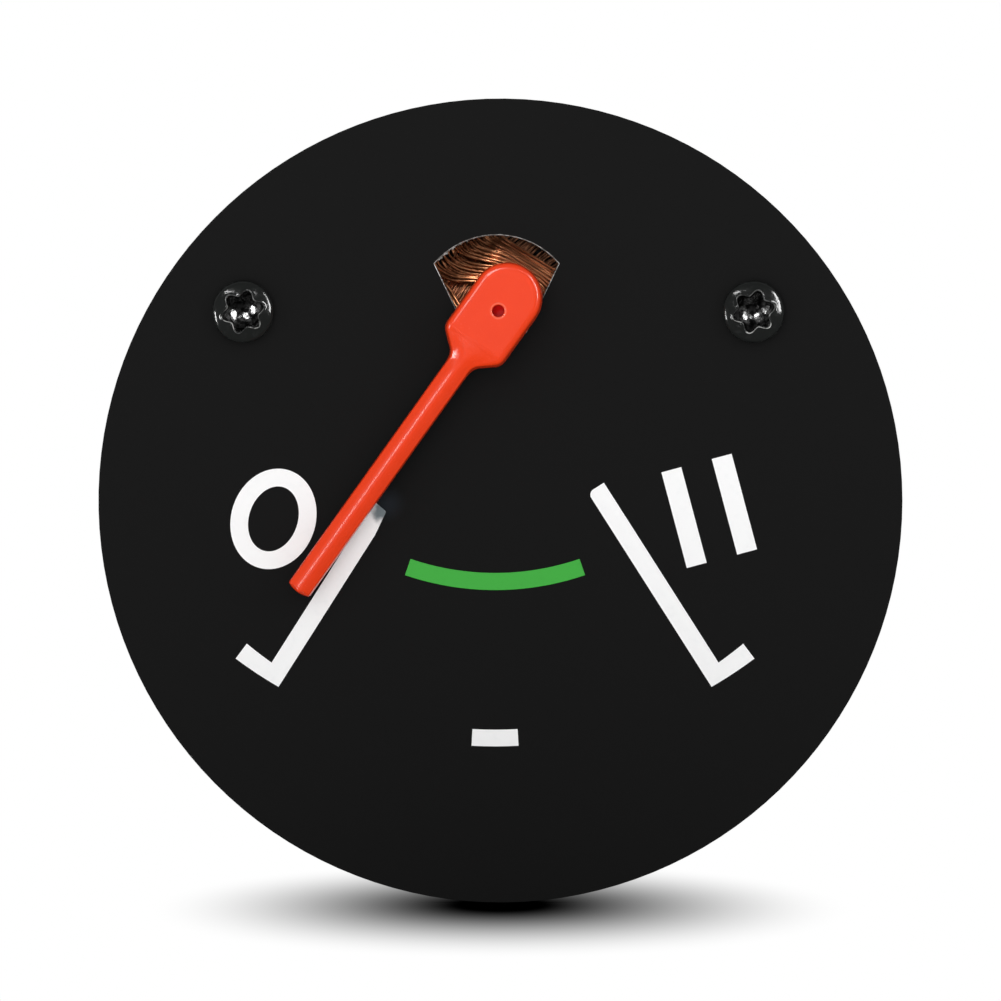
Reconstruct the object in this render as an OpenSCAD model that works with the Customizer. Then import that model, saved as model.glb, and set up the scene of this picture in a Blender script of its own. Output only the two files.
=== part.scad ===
// Water temperature gauge: a crossed-coil movement with its dial and pointer, 52 mm size.
//
// Every piece is drawn in the gauge's own drawing frame: x to the right and y up as the
// dial is read, h towards the reader. The origin is where the pointer's axis meets the
// seat plane, the rear faces of the stud collars. stood_up() then turns the drawing
// frame into the part's frame: x stays, y becomes +Z and h becomes -Y.

/* [Dial] */
// Diameter of the dial plate
dial_d = 52; // [50:0.5:58]
// Thickness of the dial plate
dial_t = 0.8; // [0.5:0.1:1.2]
// How far the dial's centre lies below the pointer's axis
dial_drop = 12.2; // [11.5:0.1:12.8]
// How far the dial's centre lies to the right of the pointer's axis
dial_shift = 0.14; // [0:0.02:0.4]
// Distance between the two dial screws
screw_pitch = 33; // [32:0.5:36]

/* [Window] */
// Radius of the window's upper edge
window_r = 5.3; // [5:0.1:5.8]
// How far the centre of that edge lies below the pointer's axis
window_arc_drop = 0.33; // [0:0.01:0.5]
// Half width of the window between its upper corners
window_half_w = 4.02; // [3.6:0.02:4.4]
// How far the window lies to the left of the pointer's axis
window_shift = 0.11; // [0:0.01:0.3]
// Slope of the window's flanks from upright
window_flank = 25.5; // [22:0.5:28]
// How far the window's lower edge lies below the pointer's axis
window_foot = 1.35; // [1.25:0.05:1.6]

/* [Print] */
// Thickness of the printed ink
ink_t = 0.05; // [0.03:0.01:0.1]
// How far the print lies to the left of the pointer's axis
print_shift = 0.21; // [0:0.01:0.4]
// Outer radius of the printed scale
scale_r = 28; // [26.5:0.1:28.5]
// Width of the scale's arcs
scale_w = 1.08; // [0.8:0.02:1.4]
// Angle of the limit lines' outer edges from straight down
limit_a = 32.5; // [30:0.5:34]
// Width of the limit lines
limit_w = 1.22; // [0.8:0.02:1.5]
// Radius where the cold limit line starts
cold_line_r = 14.8; // [13:0.1:16]
// Radius where the hot limit line starts
hot_line_r = 13.1; // [12:0.1:16]
// Width of the hooks at their ends
hook_w = 1.2; // [1:0.02:1.4]
// Angle of the hooks' ends from straight down
hook_a = 36.8; // [35.5:0.1:39]
// Half angle of the bar in the middle of the scale
mid_bar_a = 3.1; // [2:0.1:5]
// Outer radius of the normal band
band_r = 18; // [17:0.1:20]
// Width of the normal band
band_w = 1.12; // [0.8:0.02:1.6]
// Half angle of the normal band
band_a = 18.9; // [14:0.1:22]
// How far the nought's centre lies to the left of the print's centre line
nought_x = 14.33; // [13.8:0.01:14.8]
// How far the nought's centre lies below the pointer's axis
nought_drop = 13.39; // [12.8:0.01:14]
// Height of the numeral nought
nought_h = 6.6; // [5.5:0.1:7]
// Width of the numeral nought
nought_w = 5.46; // [4.5:0.02:6]
// Width of the nought's stroke
nought_stroke = 1.15; // [0.8:0.05:1.4]
// Tilt of the nought to the right
nought_tilt = 18; // [0:1:22]
// How far the two's centre lies to the right of the print's centre line
two_x = 13.85; // [13.2:0.01:14.4]
// How far the two's centre lies below the pointer's axis
two_drop = 12.87; // [12.2:0.01:13.4]
// Length of the numeral two's bars
two_h = 6.4; // [5.5:0.1:6.8]
// Width of the numeral two's bars
two_stroke = 1.33; // [0.9:0.01:1.6]
// Distance between the numeral two's bars
two_pitch = 3.37; // [2.8:0.01:3.8]
// Tilt of the numeral two to the left
two_tilt = 14.9; // [0:0.1:20]

/* [Pointer] */
// Length of the pointer from its axis to its tip
pointer_l = 22.2; // [20:0.1:23]
// Width of the pointer's arm
arm_w = 1.5; // [1.1:0.05:1.8]
// Height of the pointer's arm
arm_t = 1.4; // [1:0.1:1.7]
// Width of the pointer's hub
hub_w = 4.34; // [3.9:0.02:4.6]
// Height of the pointer's hub
hub_t = 2.3; // [2.1:0.1:2.8]
// How far the hub's tail reaches behind the axis
tail_l = 3.24; // [3.1:0.02:3.6]
// How far the hub's full width reaches in front of the axis
shoulder_l = 2.35; // [2:0.05:3]
// Slope of the hub's shoulders down to the arm
shoulder_a = 50; // [40:1:60]
// Round of the hub's shoulders
shoulder_r = 0.8; // [0.4:0.1:1]
// Round of the neck between the shoulders and the arm
neck_r = 1; // [0.5:0.1:1.2]
// Round along the hub's upper edge
hub_edge = 0.38; // [0.2:0.02:0.5]
// Air between the dial and the hub
pointer_gap = 0.7; // [0.5:0.1:1.5]
// Angle of the pointer at rest, left of straight down
rest_a = 35.5; // [30:0.5:38]
// Angle between the pointer's two stops
sweep_a = 71; // [60:1:76]

/* [Rotor] */
// Diameter of the arbor
arbor_d = 0.8; // [0.7:0.05:1]
// Diameter of the rotor magnet
rotor_d = 9.6; // [8.6:0.1:10]
// Thickness of the rotor magnet
rotor_t = 3; // [2.4:0.1:3.2]
// Diameter of the brass hub under the magnet
rotor_hub_d = 2.4; // [2:0.1:2.8]

/* [Coils] */
// Side of the square coil former
former_w = 13; // [12.6:0.1:14]
// Height of the coil former's body
former_h = 7; // [6.8:0.1:8]
// Diameter of the rotor chamber
chamber_d = 10.4; // [10.2:0.1:10.8]
// Thickness of each winding
coil_t = 1.3; // [1.1:0.05:1.6]
// Diameter of the winding's outer wire
wire_d = 0.25; // [0.2:0.01:0.28]
// Distance between neighbouring turns of the outer layer
wire_pitch = 0.7; // [0.69:0.01:0.74]
// Turns of the outer layer on each side of the bearing
bundle_turns = 5; // [3:1:5]
// Half of the gap that the windings leave for the bearing
bearing_gap = 1.45; // [1.35:0.01:1.6]
// Turn of the former about the pointer's axis
coil_a = 45; // [40:1:50]

/* [Shield] */
// Thickness of the shield cup's sheet
cup_t = 0.6; // [0.4:0.1:1]
// Height of the shield cup's wall above its floor
cup_wall_h = 11.4; // [8:0.1:12]

/* [Frame] */
// Thickness of the frame's plate
plate_t = 2; // [1.6:0.1:3]
// Diameter of the frame's plate
plate_d = 25.2; // [24.8:0.1:25.8]
// Diameter of the dial pillars
pillar_d = 5.6; // [5:0.1:6.4]
// Length of the legs between the frame's plate and the terminal board
leg_l = 3.8; // [3.6:0.1:6]
// Diameter of the legs
leg_d = 4; // [3.6:0.1:4.4]

/* [Terminals] */
// Diameter of the circle of the three studs
stud_pcd = 24; // [23.5:0.1:24.5]
// Thread diameter of the studs
stud_d = 4; // [3:0.5:5]
// Free length of the studs behind the collars
stud_l = 10; // [6:0.5:16]
// Pitch of the studs' thread
thread_pitch = 0.7; // [0.5:0.05:0.8]
// Diameter of the studs' shanks through the board
shank_d = 3; // [2.5:0.1:3.2]
// Diameter of the studs' collars
collar_d = 7; // [6:0.1:7.2]
// Thickness of the studs' collars
collar_t = 1.2; // [0.8:0.1:2]
// Thickness of the fibre washers
fibre_t = 0.5; // [0.3:0.1:1]
// Diameter of the terminal board
board_d = 31; // [30.4:0.1:31.4]
// Height of the board's flat upper edge above the pointer's axis
board_top = 10.5; // [10.1:0.1:10.8]
// Thickness of the terminal board
board_t = 2; // [1.5:0.1:3]
// Thickness of the solder tags
tag_t = 0.4; // [0.3:0.1:0.6]
// Width of the solder tags' strips
tag_w = 2.4; // [1.8:0.1:2.6]

/* [Resistor] */
// Diameter of the resistor's body
resistor_d = 2.4; // [1.8:0.1:2.5]
// Length of the resistor's body
resistor_l = 6.5; // [5:0.1:8]
// Diameter of the resistor's wires
resistor_wire_d = 0.6; // [0.4:0.05:0.7]

/* [Fasteners] */
// Diameter of the dial screws' heads
dial_head_d = 4; // [3.6:0.1:4.4]
// Height of the dial screws' heads
dial_head_t = 1.3; // [1.1:0.1:1.6]
// Thread diameter of the small screws
screw_d = 2; // [1.6:0.1:2.2]
// Length of the dial screws under their heads
dial_screw_l = 5; // [4:0.5:6]
// Distance across the points of the six-lobe recess
lobe_d = 2.8; // [2.2:0.1:2.9]
// Diameter of the board screws' heads
board_head_d = 3.8; // [3.4:0.1:4]
// Height of the board screws' heads
board_head_t = 1.1; // [0.9:0.1:1.2]
// Distance across the flats of the stud nuts
nut_af = 5.5; // [5:0.1:6]
// Thickness of the stud nuts
nut_t = 2.4; // [1.8:0.1:2.6]

/* [Hidden] */
$fn = 64;
// clearances
running = 0.03;
slip = 0.05;
coil_air = 0.1;
floor_air = 0.15;
end_play = 0.2;
stop_air = 0.06;
post_air = 0.25;
bearing_air = 0.3;
dial_air = 0.7;
cup_air = 0.3;
screw_air = 0.1;
// how far a cutting solid runs past what it cuts
cut = 1;

// heights above the seat plane, from the rear to the front
board_h0 = collar_t + fibre_t;
board_h1 = board_h0 + board_t;
tag_h1 = board_h1 + tag_t;
plate_h0 = board_h1 + leg_l;
plate_h1 = plate_h0 + plate_t;
cup_h1 = plate_h1 + cup_t;
outer_h0 = cup_h1 + floor_air;
inner_h0 = outer_h0 + coil_t + coil_air;
former_h0 = inner_h0 + coil_t + coil_air;
former_mid = former_h0 + former_h / 2;
former_h1 = former_h0 + former_h;
inner_h1 = former_h1 + coil_air + coil_t;
outer_h1 = inner_h1 + coil_air + coil_t;
post_h1 = outer_h1 + post_air;
bearing_h1 = post_h1 + bearing_air;
dial_h0 = bearing_h1 + dial_air;
dial_h1 = dial_h0 + dial_t;
hub_h0 = dial_h1 + pointer_gap;
hub_h1 = hub_h0 + hub_t;

// the rotor chamber and what turns in it
chamber_wall = 1;
chamber_h0 = former_h0 + chamber_wall;
chamber_h1 = former_h1 - chamber_wall;
thrust_rise = 0.55;
rear_bearing_h1 = chamber_h0 + thrust_rise;
rotor_hub_h0 = rear_bearing_h1 + end_play;
finger_t = 0.4;
rotor_h0 = rotor_hub_h0 + finger_t;
front_flange_t = 0.4;
front_flange_h0 = chamber_h1 - front_flange_t;
rotor_hub_h1 = front_flange_h0 - end_play;
bearing_d = 2.2;
rear_bearing_d = 3;
flange_w = 0.8;
finger_w = 1;
finger_l = rotor_d / 2 - finger_w / 2;
stop_w = 1.2;
stop_r = 3;
tip_air = 0.1;
tip_rise = 0.6;
arbor_tip_h = former_h0 + tip_rise;

// how far the middle bar lies outside the scale's arcs
mid_bar_out = 0.1;

// the pointer's moulding
pivot_hole_l = 0.8;
arbor_cover = 0.5;
arbor_h1 = hub_h1 - pivot_hole_l - arbor_cover;
boss_d = 2;
boss_h0 = bearing_h1 + bearing_air;
arm_rise = 0.35;
arm_side = arm_t * 0.45;
pocket_d = 1.8;
pocket_back = 1.75;
weight_l = 1.15;

// the windings' section and the wires' route
former_half = former_w / 2;
bundle_w = (bundle_turns - 1) * wire_pitch + wire_d;
bundle_q1 = bearing_gap + bundle_w;
wire_air = 0.03;
core_t = coil_t - wire_d - wire_air;
core_in = former_half + coil_air;
core_corner = 1.3;
wire_half = core_in + core_t + wire_air + wire_d / 2;
wire_corner = core_corner + wire_air + wire_d / 2;
lead_q = bundle_q1 - wire_d / 2;
corner_steps = 5;
wire_sides = 6;

// the former's posts, its pegs and the cup round it
post_in = bundle_q1 + 2 * coil_air;
post_wall = 2.05;
post_r = norm([wire_half, lead_q]) + post_wall;
cup_r = post_r + cup_air;
peg_r = post_r - post_wall;
peg_d = 1.6;
push_nut_d = 3.4;
push_nut_t = 0.4;
peg_l = cup_t + plate_t + 1.5 * push_nut_t;
lead_hole_d = 1.6;

// the frame and the terminals
legs = [[0, 4.8], [-11.8, -6], [11.8, -6]];
resistor_y = 0;
resistor_air = 0.25;
stud_angles = [30, 150, 270];
stud_r = stud_pcd / 2;
insert_d = 3.2;
insert_l = dial_screw_l + 4 * screw_air - dial_t;
arm_margin = 0.7;
leg_margin = 0.6;
leg_cap = 0.4;
rib_w = 1.4;
rib_h = 7.5;
stud_end = 0.5;
stud_chamfer = 0.5;
// the thread's plain start behind the collar, the flat on its crests and its depth
thread_start = 0.6;
thread_crest = thread_pitch / 6;
thread_depth = 0.61 * thread_pitch;
return_magnet_d = 1.6;
return_magnet_l = 5;
return_magnet_cap = 0.2;

function polar(r, a) = [r * cos(a), r * sin(a)];
function arc(r, a0, a1, steps) = [for (i = [0:steps]) polar(r, a0 + (a1 - a0) * i / steps)];
function moved(points, by) = [for (p = points) p + by];
function unit(v) = v / norm(v);
// where a winding's lead leaves it: p along the wire's run, q across it, run turned by a
function lead_at(p, q, a) = polar(p, a) + polar(q, a - 90);

// the two windings run at right angles
inner_a = coil_a + 180;
outer_a = coil_a + 90;
inner_start = lead_at(wire_half, -lead_q, inner_a);
inner_end = lead_at(-wire_half, lead_q, inner_a);
outer_start = lead_at(wire_half, -lead_q, outer_a);
outer_end = lead_at(-wire_half, lead_q, outer_a);
leads = [inner_start, inner_end, outer_start, outer_end];
studs = [for (a = stud_angles) polar(stud_r, a)];
pegs = [for (turn = [45:90:315]) polar(peg_r, coil_a + turn)];

module stood_up() {
    rotate([90, 0, 0]) children();
}

module disc(d, h0, h1) {
    translate([0, 0, h0]) cylinder(d = d, h = h1 - h0);
}

module ring(d, bore, h0, h1) {
    difference() {
        disc(d, h0, h1);
        disc(bore, h0 - cut, h1 + cut);
    }
}

module at(points) {
    for (p = points) translate(p) children();
}

// A flat strip with round ends from one point to another
module strip_2d(from, to, w) {
    along = to - from;
    translate(from) rotate(atan2(along[1], along[0])) {
        translate([0, -w / 2]) square([norm(along), w]);
        circle(d = w);
        translate([norm(along), 0]) circle(d = w);
    }
}

module rounded_2d(half_w, lo, hi, r) {
    for (x = [-1, 1], y = [lo + r, hi - r]) translate([x * (half_w - r), y]) circle(r = r);
    translate([-half_w, lo + r]) square([2 * half_w, hi - lo - 2 * r]);
    translate([-half_w + r, lo]) square([2 * (half_w - r), hi - lo]);
}

// The window cut in the dial: an arched top, two flanks that draw in and a flat foot
module window_2d() {
    arc_y = sqrt(pow(window_r, 2) - pow(window_half_w, 2)) - window_arc_drop;
    foot_half = window_half_w - (arc_y + window_foot) * tan(window_flank);
    translate([-window_shift, 0]) intersection() {
        translate([0, -window_arc_drop]) circle(r = window_r);
        polygon([
            [-foot_half, -window_foot], [foot_half, -window_foot], [window_half_w, arc_y],
            [window_half_w, window_r], [-window_half_w, window_r], [-window_half_w, arc_y]
        ]);
    }
}

module dial_plate() {
    color([0.1, 0.1, 0.1]) difference() {
        translate([dial_shift, -dial_drop]) disc(dial_d, dial_h0, dial_h1);
        translate([0, 0, dial_h0 - cut]) linear_extrude(dial_t + 2 * cut) window_2d();
        at([[-screw_pitch / 2, 0], [screw_pitch / 2, 0]])
            disc(screw_d + 0.3, dial_h0 - cut, dial_h1 + cut);
    }
}

// Part of a flat ring between two angles from straight down, w0 wide at a0 and w1 at a1
module arc_band_2d(r, a0, a1, w0, w1) {
    steps = max(2, ceil(abs(a1 - a0) / 2));
    turns = [for (i = [0:steps]) 270 + a0 + (a1 - a0) * i / steps];
    widths = [for (i = [0:steps]) w0 + (w1 - w0) * i / steps];
    polygon(concat(
        [for (a = turns) polar(r, a)],
        [for (i = [steps:-1:0]) polar(r - widths[i], turns[i])]
    ));
}

module inked(h = ink_t) {
    translate([-print_shift, 0, dial_h1]) linear_extrude(h) children();
}

// A limit line whose outer edge is radial, with the hook that closes the scale's end
module limit_mark_2d(side, start_r) {
    edge = 270 + side * limit_a;
    intersection() {
        rotate(edge) translate([start_r, side > 0 ? -limit_w : 0])
            square([scale_r - start_r + cut, limit_w]);
        circle(r = scale_r, $fn = 256);
    }
    arc_band_2d(scale_r, side * (limit_a - 1), side * hook_a, scale_w, hook_w);
}

module nought_2d() {
    translate([-nought_x, -nought_drop]) rotate(-nought_tilt) difference() {
        resize([nought_w, nought_h]) circle(d = nought_h);
        resize([nought_w - 2 * nought_stroke, nought_h - 2 * nought_stroke])
            circle(d = nought_h);
    }
}

module two_2d() {
    translate([two_x, -two_drop]) rotate(two_tilt) for (side = [-1, 1])
        translate([side * two_pitch / 2, 0]) square([two_stroke, two_h], center = true);
}

module scale_marks() {
    color("white") {
        inked() limit_mark_2d(-1, cold_line_r);
        inked() limit_mark_2d(1, hot_line_r);
        inked() arc_band_2d(scale_r + mid_bar_out, -mid_bar_a, mid_bar_a, scale_w, scale_w);
        inked() nought_2d();
        inked() two_2d();
    }
}

module normal_band() {
    color([0.26, 0.68, 0.26]) inked() arc_band_2d(band_r, -band_a, band_a, band_w, band_w);
}

// The six-lobe recess: a round with six bites out of it
module six_lobe_2d(d) {
    difference() {
        circle(d = d);
        for (i = [0:5]) rotate(i * 60 + 30) translate([d * 0.56, 0]) circle(d = d * 0.36);
    }
}

module dial_screws() {
    dome_r = dial_head_d;
    dome_drop = dome_r - dial_head_t;
    color([0.12, 0.12, 0.12])
    at([[-screw_pitch / 2, 0, dial_h1], [screw_pitch / 2, 0, dial_h1]]) {
        difference() {
            intersection() {
                cylinder(d = dial_head_d, h = dial_head_t);
                translate([0, 0, -dome_drop]) sphere(r = dome_r, $fn = 96);
            }
            translate([0, 0, dial_head_t * 0.35]) linear_extrude(dial_head_t)
                six_lobe_2d(lobe_d);
        }
        translate([0, 0, -dial_screw_l]) cylinder(d = screw_d - 2 * slip, h = dial_screw_l);
    }
}

// How far the shoulders reach in front of the axis, down to the arm's width
shoulder_drop = (hub_w - arm_w) / 2;
shoulder_flat = (shoulder_drop - (shoulder_r + neck_r) * (1 - cos(shoulder_a))) / sin(shoulder_a);
neck_l = shoulder_l + (shoulder_r + neck_r) * sin(shoulder_a) + shoulder_flat * cos(shoulder_a);

// One shoulder from the hub's flank to the arm's, as points [along, half width]
shoulder_steps = 6;
shoulder = concat(
    [for (i = [0:shoulder_steps]) let (a = shoulder_a * i / shoulder_steps)
        [shoulder_l + shoulder_r * sin(a), hub_w / 2 - shoulder_r * (1 - cos(a))]],
    [for (i = [shoulder_steps:-1:0]) let (a = shoulder_a * i / shoulder_steps)
        [neck_l - neck_r * sin(a), arm_w / 2 + neck_r * (1 - cos(a))]]
);

// The hub's outline with the round tail, drawn in by inset, pointing along +x
module hub_2d(inset = 0) {
    translate([hub_w / 2 - tail_l, 0]) circle(r = hub_w / 2 - inset);
    translate([hub_w / 2 - tail_l, inset - hub_w / 2])
        square([shoulder_l + tail_l - hub_w / 2, hub_w - 2 * inset]);
}

// The whole outline of the hub and the arm
module pointer_2d() {
    far = len(shoulder) - 1;
    hub_2d();
    polygon(concat(
        [[0, hub_w / 2]], shoulder, [[pointer_l, arm_w / 2], [pointer_l, -arm_w / 2]],
        [for (i = [far:-1:0]) [shoulder[i][0], -shoulder[i][1]]], [[0, -hub_w / 2]]
    ));
}

module pointer() {
    color([0.96, 0.24, 0.1]) rotate(270 - rest_a) difference() {
        union() {
            intersection() {
                pointer_body();
                translate([0, 0, hub_h0 - cut]) linear_extrude(hub_t + 2 * cut) pointer_2d();
            }
            disc(boss_d, boss_h0, hub_h0 + arm_rise);
        }
        disc(arbor_d, boss_h0 - cut, arbor_h1);
        disc(arbor_d, hub_h1 - pivot_hole_l, hub_h1 + cut);
        translate([-pocket_back, 0]) disc(pocket_d, hub_h0 - cut, hub_h0 + weight_l + slip);
    }
}

// The hub with its rounded edge, the shoulders that fall to the arm, and the arm
module pointer_body() {
    slice = 0.05;
    edge_turn = 0.3 * hub_edge;
    hull() {
        translate([0, 0, hub_h0]) linear_extrude(hub_t - hub_edge) hub_2d();
        translate([0, 0, hub_h0]) linear_extrude(hub_t - edge_turn) hub_2d(edge_turn);
        translate([0, 0, hub_h0]) linear_extrude(hub_t) hub_2d(hub_edge);
    }
    hull() {
        translate([shoulder_l, -hub_w / 2, hub_h0]) cube([shoulder_r, hub_w, hub_t - hub_edge]);
        translate([shoulder_l - slice, hub_edge - hub_w / 2, hub_h0])
            cube([slice, hub_w - 2 * hub_edge, hub_t]);
        arm(neck_l, neck_l + slice);
    }
    arm(shoulder_l, pointer_l);
}

// A stretch of the arm: upright sides under a rounded back
module arm(from, to) {
    rise = arm_t - arm_side;
    back_r = (pow(arm_w / 2, 2) + pow(rise, 2)) / (2 * rise);
    translate([from, 0, hub_h0 + arm_rise]) rotate([90, 0, 90]) linear_extrude(to - from) {
        translate([-arm_w / 2, 0]) square([arm_w, arm_side]);
        intersection() {
            translate([-arm_w / 2, arm_side]) square([arm_w, rise]);
            translate([0, arm_t - back_r]) circle(r = back_r);
        }
    }
}

module counterweight() {
    color([0.78, 0.62, 0.3]) rotate(270 - rest_a) translate([-pocket_back, 0])
        disc(pocket_d - slip, hub_h0, hub_h0 + weight_l);
}

module arbor() {
    tip_l = arbor_d * 0.6;
    color([0.75, 0.76, 0.78]) {
        disc(arbor_d, arbor_tip_h + tip_l, arbor_h1);
        translate([0, 0, arbor_tip_h]) cylinder(d1 = 0.15, d2 = arbor_d, h = tip_l);
    }
}

// The brass hub that carries the magnet, with the finger that meets the stops
module rotor_hub() {
    color([0.78, 0.62, 0.3]) difference() {
        union() {
            disc(rotor_hub_d, rotor_hub_h0, rotor_hub_h1);
            rotate(270 - rest_a) translate([0, -finger_w / 2, rotor_hub_h0])
                cube([finger_l, finger_w, finger_t]);
        }
        disc(arbor_d, rotor_hub_h0 - cut, rotor_hub_h1 + cut);
    }
}

module rotor_magnet() {
    color([0.22, 0.22, 0.24]) ring(rotor_d, rotor_hub_d, rotor_h0, rotor_h0 + rotor_t);
}

module front_bearing() {
    color([0.72, 0.52, 0.28]) difference() {
        union() {
            disc(bearing_d, front_flange_h0, bearing_h1);
            disc(bearing_d + 2 * flange_w, front_flange_h0, chamber_h1);
        }
        disc(arbor_d + 2 * running, front_flange_h0 - cut, bearing_h1 + cut);
    }
}

module rear_bearing() {
    color([0.72, 0.52, 0.28]) difference() {
        disc(rear_bearing_d, former_h0, rear_bearing_h1);
        disc(arbor_d + 2 * running, arbor_tip_h - tip_air, rear_bearing_h1 + cut);
    }
}

module former_body(h0, h1) {
    rotate(coil_a) translate([-former_half, -former_half, h0])
        cube([former_w, former_w, h1 - h0]);
}

// The four corner posts that keep the windings apart
module posts(h0, h1) {
    intersection() {
        rotate(coil_a) for (turn = [0:90:270]) rotate(turn)
            translate([post_in, post_in, h0]) cube([post_r, post_r, h1 - h0]);
        disc(2 * post_r, h0, h1);
    }
}

module former_front() {
    color([0.2, 0.2, 0.21]) difference() {
        union() {
            former_body(former_mid, former_h1);
            posts(former_mid, post_h1);
        }
        disc(chamber_d, former_mid - cut, chamber_h1);
        disc(bearing_d, former_mid, former_h1 + cut);
        translate(pegs[0])
            disc(return_magnet_d, post_h1 - return_magnet_l, post_h1 + cut);
    }
}

module former_rear() {
    finger_a = 270 - rest_a;
    gap = finger_w / 2 + stop_air;
    stop_h = rotor_h0 - chamber_h0 - tip_air;
    color([0.2, 0.2, 0.21]) {
        difference() {
            union() {
                former_body(former_h0, former_mid);
                posts(cup_h1, former_mid);
                at(pegs) disc(peg_d, cup_h1 - peg_l, cup_h1 + peg_d);
            }
            disc(chamber_d, chamber_h0, former_mid + cut);
            disc(rear_bearing_d, former_h0 - cut, former_mid);
        }
        intersection() {
            union() {
                rotate(finger_a) translate([stop_r, -gap - stop_w, chamber_h0 - slip])
                    cube([chamber_d, stop_w, stop_h]);
                rotate(finger_a + sweep_a) translate([stop_r, gap, chamber_h0 - slip])
                    cube([chamber_d, stop_w, stop_h]);
            }
            disc(chamber_d + 4 * slip, former_h0, former_mid);
        }
    }
}

module winding_place(a) {
    rotate(a) rotate([90, 0, 0]) children();
}

// The solid body of a winding: two bundles, one on each side of the bearing
module coil_core(a, h0, h1) {
    inner_corner = 0.3;
    out = core_in + core_t;
    winding_place(a) for (side = [-1, 1])
        translate([0, 0, side > 0 ? bearing_gap : -bundle_q1]) linear_extrude(bundle_w)
        difference() {
            rounded_2d(out, h0 + coil_t - core_t, h1 - coil_t + core_t, core_corner);
            rounded_2d(core_in, h0 + coil_t, h1 - coil_t, inner_corner);
        }
}

// The centre of each turn, across the winding
turn_q = [for (side = [-1, 1], i = [0:bundle_turns - 1])
    side > 0 ? bearing_gap + wire_d / 2 + i * wire_pitch
             : -bearing_gap - wire_d / 2 - (bundle_turns - 1 - i) * wire_pitch];

// One corner of a turn, as points [p, h, q]: corner 0 is the front one where p is positive
function turn_corner(corner, lo, hi, q) =
    let (x = (wire_half - wire_corner) * (corner == 0 || corner == 3 ? 1 : -1),
         y = corner < 2 ? hi - wire_corner : lo + wire_corner)
    [for (i = [0:corner_steps]) let (a = 90 * (corner + i / corner_steps))
        [x + wire_corner * cos(a), y + wire_corner * sin(a), q]];

// The whole wire: up from its tag, round every turn, and down to a tag on the far side
function wire_route(lo, hi) =
    let (last = len(turn_q) - 1)
    concat(
        [[wire_half, tag_h1, turn_q[0]], [wire_half, tag_h1 + wire_d, turn_q[0]]],
        [for (k = [0:last - 1], corner = [0:3])
            each turn_corner(corner, lo, hi, corner == 3 ? turn_q[k + 1] : turn_q[k])],
        turn_corner(0, lo, hi, turn_q[last]),
        turn_corner(1, lo, hi, turn_q[last]),
        [[-wire_half, tag_h1 + wire_d, turn_q[last]], [-wire_half, tag_h1, turn_q[last]]]
    );

// A tube of wire_sides sides along a route, as one closed polyhedron
module wire_tube(route) {
    n = len(route);
    r = wire_d / 2;
    rings = [for (i = [0:n - 1])
        let (along = unit(route[min(i + 1, n - 1)] - route[max(i - 1, 0)]),
             out = unit([along[1], -along[0], 0]),
             across = cross(along, out))
        [for (s = [0:wire_sides - 1]) let (a = 360 * s / wire_sides)
            route[i] + r * (cos(a) * out + sin(a) * across)]];
    sides = [for (i = [0:n - 2], s = [0:wire_sides - 1])
        let (t = (s + 1) % wire_sides, a = i * wire_sides, b = a + wire_sides)
        each [[a + s, b + t, a + t], [a + s, b + s, b + t]]];
    start_cap = [for (s = [1:wire_sides - 2]) [0, s, s + 1]];
    end = (n - 1) * wire_sides;
    end_cap = [for (s = [1:wire_sides - 2]) [end, end + s + 1, end + s]];
    polyhedron([for (ring = rings) each ring], concat(sides, start_cap, end_cap));
}

// Least distance between two stretches of a route that aren't neighbours, less the wire
function filled(route) = [for (i = [0:len(route) - 2], s = [0:2])
    route[i] + (route[i + 1] - route[i]) * s / 3];
function least_gap(route) =
    let (points = filled(route), n = len(points), near = 18)
    min([for (i = [0:n - 1 - near], j = [i + near:n - 1]) norm(points[i] - points[j])])
    - wire_d;

wire_off = wire_air + wire_d / 2;
inner_route = wire_route(inner_h0 + coil_t - core_t - wire_off,
    inner_h1 - coil_t + core_t + wire_off);
outer_route = wire_route(outer_h0 + coil_t - core_t - wire_off,
    outer_h1 - coil_t + core_t + wire_off);
echo(inner_winding_least_gap = least_gap(inner_route));
echo(outer_winding_least_gap = least_gap(outer_route));

module inner_coil() {
    color([0.72, 0.4, 0.22]) coil_core(inner_a, inner_h0, inner_h1);
}

module inner_winding() {
    color([0.8, 0.45, 0.25]) winding_place(inner_a) wire_tube(inner_route);
}

module outer_coil() {
    color([0.72, 0.4, 0.22]) coil_core(outer_a, outer_h0, outer_h1);
}

module outer_winding() {
    color([0.8, 0.45, 0.25]) winding_place(outer_a) wire_tube(outer_route);
}

module return_magnet() {
    color([0.3, 0.3, 0.32]) translate(pegs[0])
        disc(return_magnet_d, post_h1 - return_magnet_l, post_h1 - return_magnet_cap);
}

module shield_cup() {
    color([0.7, 0.71, 0.72]) difference() {
        disc(2 * (cup_r + cup_t), plate_h1, cup_h1 + cup_wall_h);
        disc(2 * cup_r, cup_h1, cup_h1 + cup_wall_h + cut);
        at(pegs) disc(peg_d + 2 * slip, plate_h1 - cut, cup_h1 + cut);
        at(leads) disc(lead_hole_d, plate_h1 - cut, cup_h1 + cut);
    }
}

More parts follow.
